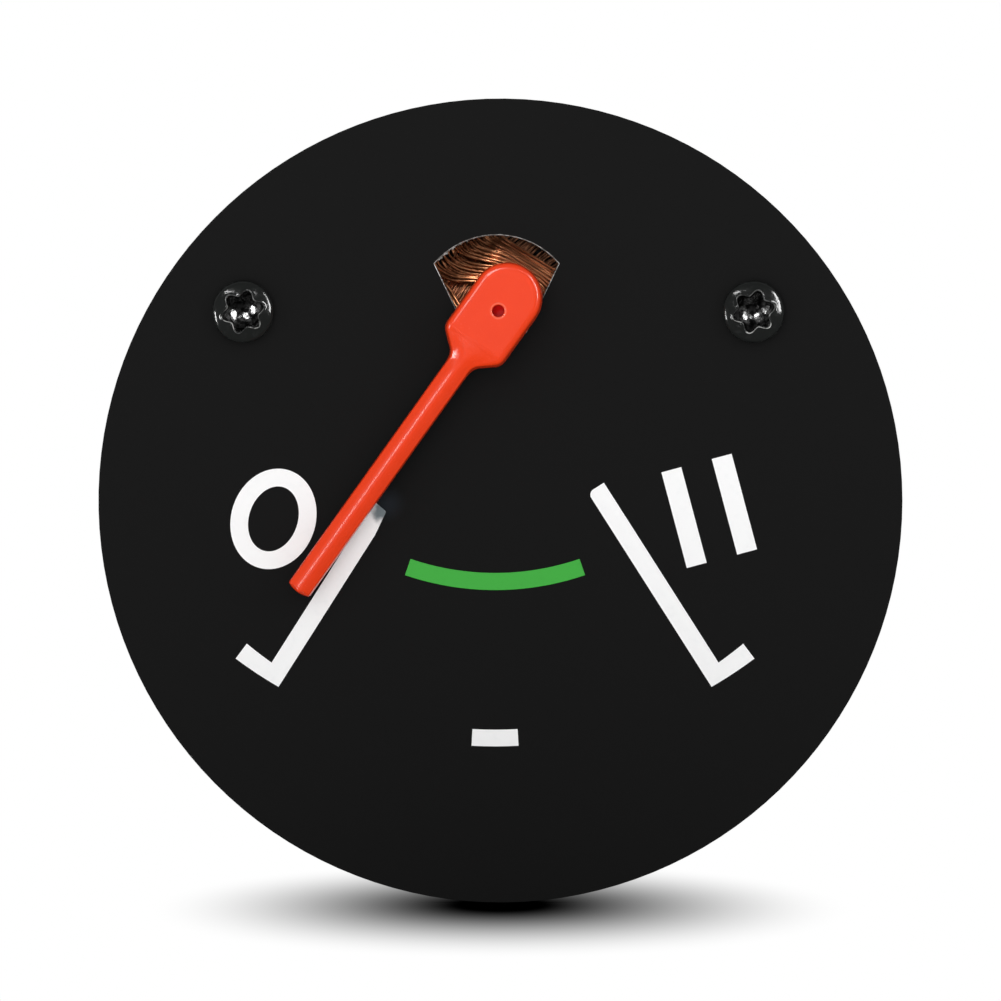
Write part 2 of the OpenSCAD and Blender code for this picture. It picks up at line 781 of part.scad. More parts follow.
module movement_frame() {
    pillar_x = screw_pitch / 2;
    rib_x = cup_r + cup_t + cup_air;
    color([0.86, 0.84, 0.78]) difference() {
        union() {
            disc(plate_d, plate_h0, plate_h1);
            translate([0, 0, plate_h0]) linear_extrude(plate_t) {
                strip_2d([-pillar_x, 0], [pillar_x, 0], pillar_d + 2 * arm_margin);
                at(legs) circle(d = leg_d + 2 * leg_margin);
            }
            at(legs) disc(leg_d, board_h1, plate_h1);
            at([[-pillar_x, 0], [pillar_x, 0]]) disc(pillar_d, plate_h0, dial_h0);
            for (turn = [0, 180]) rotate(turn) translate([rib_x, -rib_w / 2, plate_h0])
                cube([pillar_x - rib_x, rib_w, plate_t + rib_h]);
        }
        at(pegs) disc(peg_d + 2 * slip, plate_h0 - cut, plate_h1 + cut);
        at(leads) disc(lead_hole_d, plate_h0 - cut, plate_h1 + cut);
        at(legs) disc(screw_d, board_h1 - cut, plate_h0 - leg_cap);
        at([[-pillar_x, 0], [pillar_x, 0]]) disc(insert_d, dial_h0 - insert_l, dial_h0 + cut);
    }
}

module pillar_inserts() {
    color([0.78, 0.62, 0.3])
    at([[-screw_pitch / 2, 0], [screw_pitch / 2, 0]])
        ring(insert_d, screw_d, dial_h0 - insert_l, dial_h0);
}

// Push-on spring nuts that hold the former's pegs under the frame
module push_nuts() {
    color([0.7, 0.71, 0.72]) at(pegs) ring(push_nut_d, peg_d, plate_h0 - push_nut_t, plate_h0);
}

module terminal_board() {
    color([0.5, 0.3, 0.16]) difference() {
        translate([0, 0, board_h0]) linear_extrude(board_t) intersection() {
            circle(d = board_d);
            translate([-board_d / 2, -board_d / 2]) square([board_d, board_d / 2 + board_top]);
        }
        at(studs) disc(shank_d + 2 * slip, board_h0 - cut, board_h1 + cut);
        at(legs) disc(screw_d + 2 * slip, board_h0 - cut, board_h1 + cut);
    }
}

module board_screws() {
    slot_w = 0.5;
    color([0.75, 0.76, 0.78]) at(legs) difference() {
        union() {
            disc(board_head_d, board_h0 - board_head_t, board_h0);
            disc(screw_d - 2 * slip, board_h0, plate_h0 - leg_cap - screw_air);
        }
        translate([-board_head_d, -slot_w / 2, board_h0 - board_head_t - cut])
            cube([2 * board_head_d, slot_w, cut + board_head_t * 0.45]);
    }
}

// The studs' thread, as one turned groove for each turn of it
module thread_grooves() {
    for (h = [thread_start:thread_pitch:stud_l - stud_chamfer]) translate([0, 0, -h])
        rotate_extrude() polygon([
            [stud_d / 2 - thread_depth, -thread_pitch / 2],
            [stud_d / 2 + slip, thread_crest / 2 - thread_pitch],
            [stud_d / 2 + slip, -thread_crest / 2]
        ]);
}

module terminal_studs() {
    color([0.78, 0.62, 0.3]) at(studs) {
        difference() {
            union() {
                disc(stud_d, stud_chamfer - stud_l, 0);
                translate([0, 0, -stud_l])
                    cylinder(d1 = stud_d - 2 * stud_chamfer, d2 = stud_d, h = stud_chamfer);
            }
            thread_grooves();
        }
        disc(collar_d, 0, collar_t);
        disc(shank_d, collar_t, tag_h1 + nut_t + stud_end);
    }
}

module fibre_washers() {
    color([0.62, 0.24, 0.18]) at(studs)
        ring(collar_d, shank_d + 2 * slip, collar_t, board_h0);
}

module tag_2d(stud, ends) {
    difference() {
        union() {
            translate(stud) circle(d = nut_af);
            for (end = ends) strip_2d(stud, end, tag_w);
        }
        translate(stud) circle(d = shank_d + 2 * slip);
    }
}

module solder_tags() {
    color([0.8, 0.8, 0.78]) translate([0, 0, board_h1]) linear_extrude(tag_t) {
        tag_2d(studs[0], [outer_end, inner_end]);
        tag_2d(studs[1], [[outer_start[0], resistor_y]]);
        tag_2d(studs[2], [inner_start]);
    }
}

module stud_nuts() {
    color([0.78, 0.62, 0.3]) at(studs) difference() {
        translate([0, 0, tag_h1]) cylinder(d = nut_af / cos(30), h = nut_t, $fn = 6);
        disc(shank_d + slip, tag_h1 - cut, tag_h1 + nut_t + cut);
    }
}

resistor_h = board_h1 + resistor_air + resistor_d / 2;
// where the resistor's wires meet the two upper tags, on their strips' centre lines
right_tag_x = outer_end[0] + (studs[0][0] - outer_end[0])
    * (resistor_y - outer_end[1]) / (studs[0][1] - outer_end[1]);
left_tag_x = outer_start[0];

module resistor_body() {
    cap_l = 1.2;
    color([0.82, 0.7, 0.52]) translate([0, resistor_y, resistor_h]) rotate([0, 90, 0]) {
        cylinder(d = resistor_d * 0.86, h = resistor_l, center = true);
        for (side = [-1, 1]) translate([0, 0, side * (resistor_l - cap_l) / 2])
            cylinder(d = resistor_d, h = cap_l, center = true);
    }
}

module resistor_wire(x_end) {
    side = sign(x_end);
    reach = abs(x_end) - resistor_l / 2;
    translate([side * resistor_l / 2, resistor_y, resistor_h]) rotate([0, side * 90, 0])
        cylinder(d = resistor_wire_d, h = reach);
    translate([x_end, resistor_y, resistor_h]) sphere(d = resistor_wire_d);
    translate([x_end, resistor_y]) disc(resistor_wire_d, tag_h1, resistor_h);
}

module resistor_wires() {
    color([0.8, 0.8, 0.78]) {
        resistor_wire(right_tag_x);
        resistor_wire(left_tag_x);
    }
}

stood_up() dial_plate();
stood_up() scale_marks();
stood_up() normal_band();
stood_up() dial_screws();
stood_up() pointer();
stood_up() counterweight();
stood_up() arbor();
stood_up() rotor_hub();
stood_up() rotor_magnet();
stood_up() front_bearing();
stood_up() rear_bearing();
stood_up() former_front();
stood_up() former_rear();
stood_up() inner_coil();
stood_up() inner_winding();
stood_up() outer_coil();
stood_up() outer_winding();
stood_up() return_magnet();
stood_up() shield_cup();
stood_up() movement_frame();
stood_up() pillar_inserts();
stood_up() push_nuts();
stood_up() terminal_board();
stood_up() board_screws();
stood_up() terminal_studs();
stood_up() fibre_washers();
stood_up() solder_tags();
stood_up() stud_nuts();
stood_up() resistor_body();
stood_up() resistor_wires();
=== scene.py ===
import math

import bmesh
import bpy
from mathutils import Matrix, Vector


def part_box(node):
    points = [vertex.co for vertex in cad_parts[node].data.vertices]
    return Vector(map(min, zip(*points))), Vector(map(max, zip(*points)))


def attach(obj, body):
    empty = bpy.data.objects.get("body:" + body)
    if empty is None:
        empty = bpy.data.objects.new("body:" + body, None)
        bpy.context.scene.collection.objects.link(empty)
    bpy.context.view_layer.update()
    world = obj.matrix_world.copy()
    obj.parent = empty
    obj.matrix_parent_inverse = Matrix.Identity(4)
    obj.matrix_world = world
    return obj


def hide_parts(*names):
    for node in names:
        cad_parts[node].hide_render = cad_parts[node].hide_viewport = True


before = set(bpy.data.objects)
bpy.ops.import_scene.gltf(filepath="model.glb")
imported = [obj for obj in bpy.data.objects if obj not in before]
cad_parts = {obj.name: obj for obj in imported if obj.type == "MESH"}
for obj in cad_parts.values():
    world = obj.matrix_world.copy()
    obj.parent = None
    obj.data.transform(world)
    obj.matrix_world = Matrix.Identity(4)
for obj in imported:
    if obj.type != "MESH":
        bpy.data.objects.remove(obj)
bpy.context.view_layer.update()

MM = 0.001
scene = bpy.context.scene
scene.view_settings.view_transform = "Standard"

# Camera: it looks straight at the middle of the dial from 600 mm, with a long lens, so
# that the dial fills the same share of the picture as in the photograph.
dial_low, dial_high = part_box("dial_plate")
dial_middle = (dial_low + dial_high) / 2
dial_front = dial_low.y
picture_px = 1001
dial_px = 804
camera_away = 600 * MM
sensor_w = 36
view_w = (dial_high.x - dial_low.x) * picture_px / dial_px
camera_data = bpy.data.cameras.new("camera")
camera_data.sensor_width = sensor_w
camera_data.lens = sensor_w * camera_away / view_w
camera = bpy.data.objects.new("camera", camera_data)
camera.location = (dial_middle.x, dial_front - camera_away, dial_middle.z)
camera.rotation_euler = (math.pi / 2, 0, 0)
scene.collection.objects.link(camera)
scene.camera = camera


# Studio: a sheet of white paper under the gauge, with a soft shadow painted into it at its
# foot. Broad boxes light it softly, and narrow lamps round it only make glints.
class Value:
    """A socket of a node tree. Sums, products and comparisons add Math nodes to the tree."""

    def __init__(self, diagram, socket):
        self.diagram = diagram
        self.socket = socket

    def math(self, operation, *terms):
        inputs = dict(enumerate(terms))
        return self.diagram.node("ShaderNodeMath", {"operation": operation}, inputs)

    def own(self, operation):
        """An operation that takes this value alone."""
        return self.math(operation, self)

    def __add__(self, other):
        return self.math("ADD", self, other)

    def __radd__(self, other):
        return self.math("ADD", other, self)

    def __sub__(self, other):
        return self.math("SUBTRACT", self, other)

    def __rsub__(self, other):
        return self.math("SUBTRACT", other, self)

    def __mul__(self, other):
        return self.math("MULTIPLY", self, other)

    def __rmul__(self, other):
        return self.math("MULTIPLY", other, self)

    def __truediv__(self, other):
        return self.math("DIVIDE", self, other)

    def __rtruediv__(self, other):
        return self.math("DIVIDE", other, self)

    def __pow__(self, other):
        return self.math("POWER", self, other)

    def __mod__(self, other):
        return self.math("FLOORED_MODULO", self, other)

    def __gt__(self, other):
        return self.math("GREATER_THAN", self, other)

    def __lt__(self, other):
        return self.math("LESS_THAN", self, other)

    def __abs__(self):
        return self.own("ABSOLUTE")


class Diagram:
    """A node tree that is filled in one node at a time."""

    def __init__(self, tree):
        self.tree = tree
        self.tree.nodes.clear()

    def feed(self, socket, value):
        if isinstance(value, Value):
            self.tree.links.new(value.socket, socket)
        elif socket.type == "RGBA":
            socket.default_value = (*value, 1)
        else:
            socket.default_value = value

    def node(self, kind, settings=None, inputs=None, output=0):
        made = self.tree.nodes.new(kind)
        for name, setting in (settings or {}).items():
            setattr(made, name, setting)
        for name, value in (inputs or {}).items():
            self.feed(made.inputs[name], value)
        return Value(self, made.outputs[output]) if made.outputs else made

    def spread(self, value, low, high, to_low=0.0, to_high=1.0):
        """value from low to high, turned into to_low to to_high and held inside them."""
        return self.node("ShaderNodeMapRange", {"interpolation_type": "SMOOTHSTEP"}, {
            "Value": value, "From Min": low, "From Max": high,
            "To Min": to_low, "To Max": to_high})


class Finish(Diagram):
    """The material of one of the gauge's pieces. Its place is the Object coordinate."""

    def __init__(self, name):
        self.material = bpy.data.materials.new(name)
        self.material.use_nodes = True
        super().__init__(self.material.node_tree)
        self.place = self.node("ShaderNodeTexCoord", output="Object")

    def stretched(self, x, y, z):
        """The place with its axes scaled, which draws a pattern out along the small ones."""
        return self.node("ShaderNodeMapping", None, {"Vector": self.place, "Scale": (x, y, z)})

    def axis(self, name):
        return self.node("ShaderNodeSeparateXYZ", None, {0: self.place}, name)

    def away_from(self, x, z):
        """The distance in metres from a spot on the dial's face."""
        return self.node("ShaderNodeVectorMath", {"operation": "DISTANCE"}, {
            0: self.place, 1: (x, dial_front, z)}, "Value")

    def noise(self, grain, detail=2, place=None):
        """Noise from 0 to 1 whose blotches are about grain metres wide."""
        return self.node("ShaderNodeTexNoise", None, {
            "Vector": place or self.place, "Scale": 1 / grain, "Detail": detail})

    def blend(self, share, first, second):
        """The first colour where share is 0 and the second where it is 1."""
        made = self.tree.nodes.new("ShaderNodeMix")
        made.data_type = "RGBA"
        factor, a, b = (made.inputs[i] for i in (0, 6, 7))
        self.feed(factor, share)
        self.feed(a, first)
        self.feed(b, second)
        return Value(self, made.outputs[2])

    def bump(self, height, depth):
        """A relief of that depth in metres."""
        return self.node("ShaderNodeBump", None, {
            "Height": height, "Distance": depth, "Strength": 1.0})

    def surface(self, inputs):
        shader = self.node("ShaderNodeBsdfPrincipled", None, inputs)
        self.node("ShaderNodeOutputMaterial", None, {"Surface": shader})
        return self.material


# The camera sees white all round. A mirror sees white paper behind the gauge and a dim room
# in front of it. The sky isn't sampled as a lamp, so that mirrors find it by that rule only.
white_level = 1.0
world_level = 0.62
room_level = 0.06
room_until = -0.35
paper_from = 0.5
world = bpy.data.worlds.new("studio")
world.use_nodes = True
world.cycles.sampling_method = "NONE"
scene.world = world
sky = Diagram(world.node_tree)
seen = (sky.node("ShaderNodeLightPath", output="Is Camera Ray")
        + sky.node("ShaderNodeLightPath", output="Is Transmission Ray"))
mirrored = sky.node("ShaderNodeLightPath", output="Is Glossy Ray")
toward = sky.node("ShaderNodeTexCoord", output="Generated")
backward = sky.node("ShaderNodeSeparateXYZ", None, {0: toward}, "Y")
glossy_level = sky.spread(backward, room_until, paper_from, room_level, white_level)
level = (seen * white_level + mirrored * glossy_level
         + (1 - seen) * (1 - mirrored) * world_level)
backdrop = sky.node("ShaderNodeBackground", None, {"Color": level})
sky.node("ShaderNodeOutputWorld", None, {"Surface": backdrop})

floor_half = 120 * MM
floor_ahead = 80 * MM
floor_behind = 200 * MM
floor_mesh = bpy.data.meshes.new("floor")
floor_mesh.from_pydata(
    [(-floor_half, dial_front - floor_ahead, dial_low.z),
     (floor_half, dial_front - floor_ahead, dial_low.z),
     (floor_half, dial_front + floor_behind, dial_low.z),
     (-floor_half, dial_front + floor_behind, dial_low.z)], [], [(0, 1, 2, 3)])
floor = bpy.data.objects.new("floor", floor_mesh)
scene.collection.objects.link(floor)
paper = Finish("floor_paper")
paper_white = (0.8, 0.8, 0.8)
# Painted shadow: a soft dark pool, drawn out towards the camera, is painted into the paper's
# white at the gauge's foot. The ambient occlusion below adds the shade of the gauge's shape.
painted_shadow_ahead = 3.5 * MM
painted_shadow_length = 0.32
painted_shadow_dark_r = 2.6 * MM
painted_shadow_end_r = 22.6 * MM
sideways = paper.axis("X") - dial_middle.x
forward = (paper.axis("Y") - dial_front + painted_shadow_ahead) * painted_shadow_length
painted_shadow_r = (sideways * sideways + forward * forward) ** 0.5
painted_shadow = paper.spread(painted_shadow_r, painted_shadow_dark_r, painted_shadow_end_r, 1.0, 0.0)
shelter_reach = 30 * MM
shelter_rays = 24
covered = 0.05
uncovered = 0.5
shelter = paper.node("ShaderNodeAmbientOcclusion", {"samples": shelter_rays}, {
    "Distance": shelter_reach}, "AO")
open_white = (1 - painted_shadow) * paper.spread(shelter, covered, uncovered)
dim_until = dial_front - 10 * MM
lit_from = dial_front + 30 * MM
in_mirror = paper.node("ShaderNodeLightPath", output="Is Glossy Ray")
dim_ahead = paper.spread(paper.axis("Y"), dim_until, lit_from, room_level, white_level)
bright = paper.node("ShaderNodeEmission", None, {
    "Color": open_white * (1 - in_mirror * (1 - dim_ahead))})
plain = paper.node("ShaderNodeBsdfDiffuse", None, {"Color": paper_white})
watched = (paper.node("ShaderNodeLightPath", output="Is Camera Ray") + in_mirror
           + paper.node("ShaderNodeLightPath", output="Is Transmission Ray"))
floor_mix = paper.node("ShaderNodeMixShader", None, {0: watched, 1: plain, 2: bright})
paper.node("ShaderNodeOutputMaterial", None, {"Surface": floor_mix})
floor_mesh.materials.append(paper.material)


def lamp(name, off_axis, around, width, height, watts, away=0.75, lights=False, glints=True):
    """A lamp aimed at the dial's middle: degrees off the camera's axis and round it."""
    data = bpy.data.lights.new(name, "AREA")
    data.shape = "RECTANGLE"
    data.size = width
    data.size_y = height
    data.energy = watts
    made = bpy.data.objects.new(name, data)
    off = math.radians(off_axis)
    turn = math.radians(around)
    reach = Vector((
        math.sin(off) * math.cos(turn), -math.cos(off), math.sin(off) * math.sin(turn)))
    made.location = dial_middle + reach * away
    made.rotation_euler = (-reach).to_track_quat("-Z", "Y").to_euler()
    made.visible_diffuse = lights
    made.visible_glossy = glints
    scene.collection.objects.link(made)


lamp("soft_box", off_axis=38, around=100, width=1.1, height=1.1, watts=2.2, away=1.3,
     lights=True, glints=False)
lamp("front_box", off_axis=12, around=234, width=0.9, height=0.9, watts=8.0, away=1.4,
     lights=True, glints=False)
lamp("back_lamp", off_axis=129, around=95, width=0.42, height=0.42, watts=2.6, away=0.7,
     lights=True)
lamp("right_lamp", off_axis=56, around=24, width=0.09, height=0.5, watts=9.0)
lamp("left_lamp", off_axis=62, around=190, width=0.06, height=0.26, watts=6.5)
lamp("upper_lamp", off_axis=47, around=125, width=0.26, height=0.018, watts=1.7)
lamp("high_lamp", off_axis=40, around=62, width=0.05, height=0.08, watts=0.4)
lamp("low_lamp", off_axis=34, around=228, width=0.04, height=0.12, watts=0.5)
lamp("front_lamp", off_axis=32, around=146, width=0.1, height=0.1, watts=1.4, away=0.8)
lamp("window_lamp", off_axis=30, around=118, width=0.12, height=0.12, watts=3.5, away=0.8)


# Movement frame: the pale plastic moulding that everything is built on. It is moulded
# in one with its two dial pillars and three legs, in glass-filled nylon.
def plain_mesh(name, bm, smooth_under=40):
    """The bmesh as a new object at the origin, smooth where faces meet under that angle."""
    mesh = bpy.data.meshes.new(name)
    bm.to_mesh(mesh)
    bm.free()
    mesh.shade_smooth()
    mesh.set_sharp_from_angle(angle=math.radians(smooth_under))
    made = bpy.data.objects.new(name, mesh)
    scene.collection.objects.link(made)
    return made


def settled(made):
    """Turns the object's modifiers into its mesh."""
    graph = bpy.context.evaluated_depsgraph_get()
    mesh = bpy.data.meshes.new_from_object(made.evaluated_get(graph))
    made.modifiers.clear()
    made.data = mesh
    return made


def bevelled(made, edge, rounds=3, over=30):
    """Rounds the edges that are sharper than that angle, by a radius of edge metres."""
    bevel = made.modifiers.new("edge", "BEVEL")
    bevel.width = edge
    bevel.segments = rounds
    bevel.limit_method = "ANGLE"
    bevel.angle_limit = math.radians(over)
    bevel.harden_normals = True
    return settled(made)


same_point = 0.0005 * MM
same_plane = math.radians(0.5)


def merged_copy(node, name):
    """A copy of a CAD node's mesh with its loose triangles joined into whole faces."""
    bm = bmesh.new()
    bm.from_mesh(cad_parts[node].data)
    bmesh.ops.remove_doubles(bm, verts=bm.verts, dist=same_point)
    bmesh.ops.dissolve_limit(bm, angle_limit=same_plane, verts=bm.verts, edges=bm.edges)
    return plain_mesh(name, bm)


def fitted(made, body, material, slot, *nodes):
    """Gives a finished piece its material and its body, and hides the CAD nodes that it stands
    for.
    """
    if not made.data.materials:
        made.data.materials.append(material)
    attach(made, body)
    if nodes:
        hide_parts(*nodes)


def dressed(node, name, body, material, slot, edge, rounds=3, over=30):
    """A CAD node's own shape with its edges rounded, as the piece that replaces it."""
    made = bevelled(merged_copy(node, name), edge, rounds, over)
    fitted(made, body, material, slot, node)


nylon = Finish("frame_plastic")
nylon_cream = (0.72, 0.68, 0.58)
nylon_shade = (0.62, 0.57, 0.47)
flow = nylon.noise(grain=3 * MM, detail=3)
speck = nylon.noise(grain=0.12 * MM, detail=2)
nylon_material = nylon.surface({
    "Base Color": nylon.blend(flow * 0.5 + speck * 0.25, nylon_cream, nylon_shade),
    "Roughness": 0.42 + flow * 0.18,
    "Specular IOR Level": 0.45,
    "Subsurface Weight": 0.06,
    "Subsurface Radius": (0.001, 0.0008, 0.0006),
    "Normal": nylon.bump(speck, depth=0.006 * MM)})
dressed("movement_frame", "frame_moulding", "movement", nylon_material, "frame_plastic",
        edge=0.12 * MM)

# Brass inserts: two knurled bushes pressed into the pillars, tapped for the dial screws.
# They are turned from the same free-cutting brass as the studs and their nuts.
brass = Finish("brass")
brass_yellow = (0.66, 0.45, 0.2)
brass_dull = (0.46, 0.3, 0.13)
lathe_marks = brass.noise(grain=0.09 * MM, detail=1, place=brass.stretched(0.15, 1, 0.15))
tarnish = brass.noise(grain=1.1 * MM, detail=4)
brass_material = brass.surface({
    "Base Color": brass.blend(
        brass.spread(tarnish, 0.35, 0.8, 0.0, 0.5), brass_yellow, brass_dull),
    "Metallic": 1.0,
    "Roughness": 0.27 + brass.spread(tarnish, 0.25, 0.85) * 0.1,
    "Normal": brass.bump(lathe_marks, depth=0.004 * MM)})
dressed("pillar_inserts", "insert_bushes", "movement", brass_material, "brass",
        edge=0.08 * MM, rounds=2)

# Shield cup: a deep-drawn can of soft iron, zinc plated, that keeps stray fields off the
# coils. The former's four pegs and the windings' leads pass through its floor.
cup_steel = Finish("cup_steel")
zinc_light = (0.66, 0.67, 0.66)
zinc_dark = (0.42, 0.43, 0.43)
spangle_w = 0.9 * MM
spangle = cup_steel.node("ShaderNodeTexVoronoi", {"feature": "F1"}, {
    "Vector": cup_steel.place, "Scale": 1 / spangle_w}, "Color")
crystal = cup_steel.node("ShaderNodeSeparateColor", None, {0: spangle}, 0)
draw_marks = cup_steel.noise(grain=0.12 * MM, detail=2, place=cup_steel.stretched(1, 0.06, 1))
cup_material = cup_steel.surface({
    "Base Color": cup_steel.blend(crystal * 0.5 + draw_marks * 0.3, zinc_light, zinc_dark),
    "Metallic": 1.0,
    "Roughness": 0.3 + crystal * 0.12 + draw_marks * 0.12,
    "Normal": cup_steel.bump(draw_marks, depth=0.006 * MM)})
dressed("shield_cup", "iron_cup", "movement", cup_material, "cup_steel",
        edge=0.22 * MM, rounds=4)

# Push nuts: four stamped spring-steel washers forced over the former's pegs, with teeth
# that are split from the bore and grip the plastic.
steel = Finish("steel")
steel_bright = (0.62, 0.62, 0.62)
steel_grey = (0.36, 0.36, 0.37)
steel_cloud = steel.noise(grain=0.8 * MM, detail=3)
steel_marks = steel.noise(grain=0.06 * MM, detail=2, place=steel.stretched(0.2, 1, 0.2))
steel_material = steel.surface({
    "Base Color": steel.blend(steel.spread(steel_cloud, 0.4, 0.8), steel_bright, steel_grey),
    "Metallic": 1.0,
    "Roughness": 0.24 + steel_cloud * 0.2,
    "Normal": steel.bump(steel_marks, depth=0.003 * MM)})


def ring_points(radii, y, middle=(0, 0)):
    """One closed loop of points about an axis along y, from the radius at each step."""
    steps = len(radii)
    return [(middle[0] + r * math.cos(2 * math.pi * i / steps), y,
             middle[1] + r * math.sin(2 * math.pi * i / steps)) for i, r in enumerate(radii)]


def joined_loops(bm, loops, closed=True, capped=False):
    """Faces between neighbouring loops of points, and from the last to the first."""
    rows = [[bm.verts.new(p) for p in loop] for loop in loops]
    pairs = list(zip(rows, rows[1:])) + ([(rows[-1], rows[0])] if closed else [])
    for near, far in pairs:
        around = len(near)
        for i in range(around):
            j = (i + 1) % around
            bm.faces.new((near[i], near[j], far[j], far[i]))
    if capped:
        bm.faces.new(rows[0])
        bm.faces.new(rows[-1])
    return rows


def turned(bm, profile, middle=(0, 0), steps=48):
    """A solid turned about an axis along y, from (y, radius) at each step of its profile."""
    loops = [ring_points([r] * steps, y, middle) for y, r in profile]
    joined_loops(bm, loops, closed=False, capped=True)


def outward(bm):
    bmesh.ops.recalc_face_normals(bm, faces=bm.faces)
    return bm


class Growth(Diagram):
    """A geometry node tree with named inputs, turned into a plain mesh by grown()."""

    def __init__(self, name, sizes):
        self.group = bpy.data.node_groups.new(name, "GeometryNodeTree")
        super().__init__(self.group)
        face = self.group.interface
        face.new_socket("Geometry", in_out="INPUT", socket_type="NodeSocketGeometry")
        face.new_socket("Geometry", in_out="OUTPUT", socket_type="NodeSocketGeometry")
        for label, kind in {**sizes, "Material": "NodeSocketMaterial"}.items():
            face.new_socket(label, in_out="INPUT", socket_type=kind)
        self.entry = self.tree.nodes.new("NodeGroupInput")

    def size(self, label):
        return Value(self, self.entry.outputs[label])

    def close(self, geometry):
        real = self.node("GeometryNodeRealizeInstances", None, {0: geometry})
        clad = self.node("GeometryNodeSetMaterial", None, {
            "Geometry": real, "Material": self.size("Material")})
        self.node("NodeGroupOutput", None, {0: clad})

    def grown(self, made, **sizes):
        """Runs the tree on an object and leaves the result as its plain mesh."""
        step = made.modifiers.new("growth", "NODES")
        step.node_group = self.group
        for item in self.group.interface.items_tree:
            label = item.name.replace(" ", "_").lower()
            if item.in_out == "INPUT" and label in sizes:
                step[item.identifier] = sizes[label]
        return settled(made)


circle_of = Growth("circle_of_pieces", {
    "Count": "NodeSocketInt", "Circle": "NodeSocketFloat", "First Angle": "NodeSocketFloat"})
share = circle_of.node("GeometryNodeInputIndex") / circle_of.size("Count")
turn = circle_of.size("First Angle") + share * (2 * math.pi)
spot = circle_of.node("ShaderNodeCombineXYZ", None, {
    0: circle_of.size("Circle") * turn.own("COSINE"),
    2: circle_of.size("Circle") * turn.own("SINE")})
points = circle_of.node("GeometryNodePoints", None, {
    "Count": circle_of.size("Count"), "Position": spot})
facing = circle_of.node("FunctionNodeEulerToRotation", None, {
    0: circle_of.node("ShaderNodeCombineXYZ", None, {1: 0 - turn})})
circle_of.close(circle_of.node("GeometryNodeInstanceOnPoints", None, {
    "Points": points, "Instance": circle_of.size("Geometry"), "Rotation": facing}))

push_low, push_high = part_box("push_nuts")
push_nut_d = 3.4 * MM
peg_d = 1.6 * MM
sheet_t = 0.25 * MM
tooth_count = 6
tooth_slot_share = 0.16
tooth_slot_l = 0.42 * MM
tooth_lift = 0.15 * MM
push_nut_steps = 72
push_nut_back = push_high.y - tooth_lift
tooth_reach = []
for step in range(push_nut_steps):
    phase = (step / push_nut_steps * tooth_count) % 1
    in_slot = min(phase, 1 - phase) < tooth_slot_share / 2
    tooth_reach.append(peg_d / 2 + (tooth_slot_l if in_slot else 0))
rim = [push_nut_d / 2] * push_nut_steps
fold = [peg_d / 2 + tooth_slot_l] * push_nut_steps
bm = bmesh.new()
joined_loops(bm, [
    ring_points(rim, push_nut_back - sheet_t), ring_points(rim, push_nut_back),
    ring_points(fold, push_nut_back), ring_points(tooth_reach, push_high.y),
    ring_points(tooth_reach, push_high.y - sheet_t),
    ring_points(fold, push_nut_back - sheet_t)])
push_nuts = bevelled(plain_mesh("push_nut_stampings", outward(bm)), edge=0.03 * MM, rounds=2)
circle_of.grown(push_nuts, count=4, circle=(push_high.x - push_low.x - push_nut_d) / 2,
                first_angle=0.0, material=steel_material)
fitted(push_nuts, "movement", steel_material, "steel", "push_nuts")

# Coil former: two black moulded halves with the rotor's chamber between them. Four
# corner posts keep the crossed windings apart, and pegs below pass through the cup.
phenolic = Finish("former_black")
phenolic_black = (0.012, 0.012, 0.013)
phenolic_worn = (0.03, 0.03, 0.03)
mould_grain = phenolic.noise(grain=0.1 * MM, detail=3)
mould_cloud = phenolic.noise(grain=1.5 * MM, detail=2)
phenolic_material = phenolic.surface({
    "Base Color": phenolic.blend(phenolic.spread(mould_cloud, 0.5, 0.8),
                                 phenolic_black, phenolic_worn),
    "Roughness": 0.34 + mould_grain * 0.2,
    "Specular IOR Level": 0.4,
    "Normal": phenolic.bump(mould_grain, depth=0.006 * MM)})
for half in ("former_rear", "former_front"):
    dressed(half, half + "_moulding", "movement", phenolic_material, "former_black",
            edge=0.1 * MM)

# Rotor bearings: two turned bushes of phosphor bronze, pressed into the former. The
# front one carries the arbor through the coils, and the rear one is its footstep.
bronze = Finish("bearing_bronze")
bronze_red = (0.62, 0.36, 0.18)
bronze_dull = (0.4, 0.22, 0.11)
bronze_cloud = bronze.noise(grain=0.7 * MM, detail=3)
bronze_marks = bronze.noise(grain=0.05 * MM, detail=1, place=bronze.stretched(0.1, 1, 0.1))
bronze_material = bronze.surface({
    "Base Color": bronze.blend(bronze_cloud, bronze_red, bronze_dull),
    "Metallic": 1.0,
    "Roughness": 0.25 + bronze_cloud * 0.2,
    "Normal": bronze.bump(bronze_marks, depth=0.003 * MM)})
for bush in ("front_bearing", "rear_bearing"):
    dressed(bush, bush + "_bush", "movement", bronze_material, "bearing_bronze",
            edge=0.05 * MM, rounds=2)

# Rotor: the arbor of polished steel, the brass hub with its stop finger, and the round
# ferrite magnet that is moulded on the hub and turns in the coils' field.
dressed("arbor", "arbor_pin", "pointer_assembly", steel_material, "steel",
        edge=0.04 * MM, rounds=2)
dressed("rotor_hub", "rotor_hub_turning", "pointer_assembly", brass_material, "brass",
        edge=0.05 * MM, rounds=2)


def mottled(name, colours, grain, detail, roughness, depth):
    """A dull finish that drifts between two colours, in blotches about grain metres wide."""
    finish = Finish(name)
    blotches = finish.noise(grain=grain, detail=detail)
    return finish.surface({
        "Base Color": finish.blend(blotches, *colours),
        "Roughness": roughness + blotches * 0.2,
        "Normal": finish.bump(blotches, depth=depth)})


ferrite_dark = (0.045, 0.045, 0.05)
ferrite_light = (0.1, 0.1, 0.105)
ferrite_material = mottled("magnet_grey", (ferrite_dark, ferrite_light), grain=0.05 * MM,
                           detail=3, roughness=0.45, depth=0.008 * MM)
dressed("rotor_magnet", "rotor_disc", "pointer_assembly", ferrite_material, "magnet_grey",
        edge=0.15 * MM)

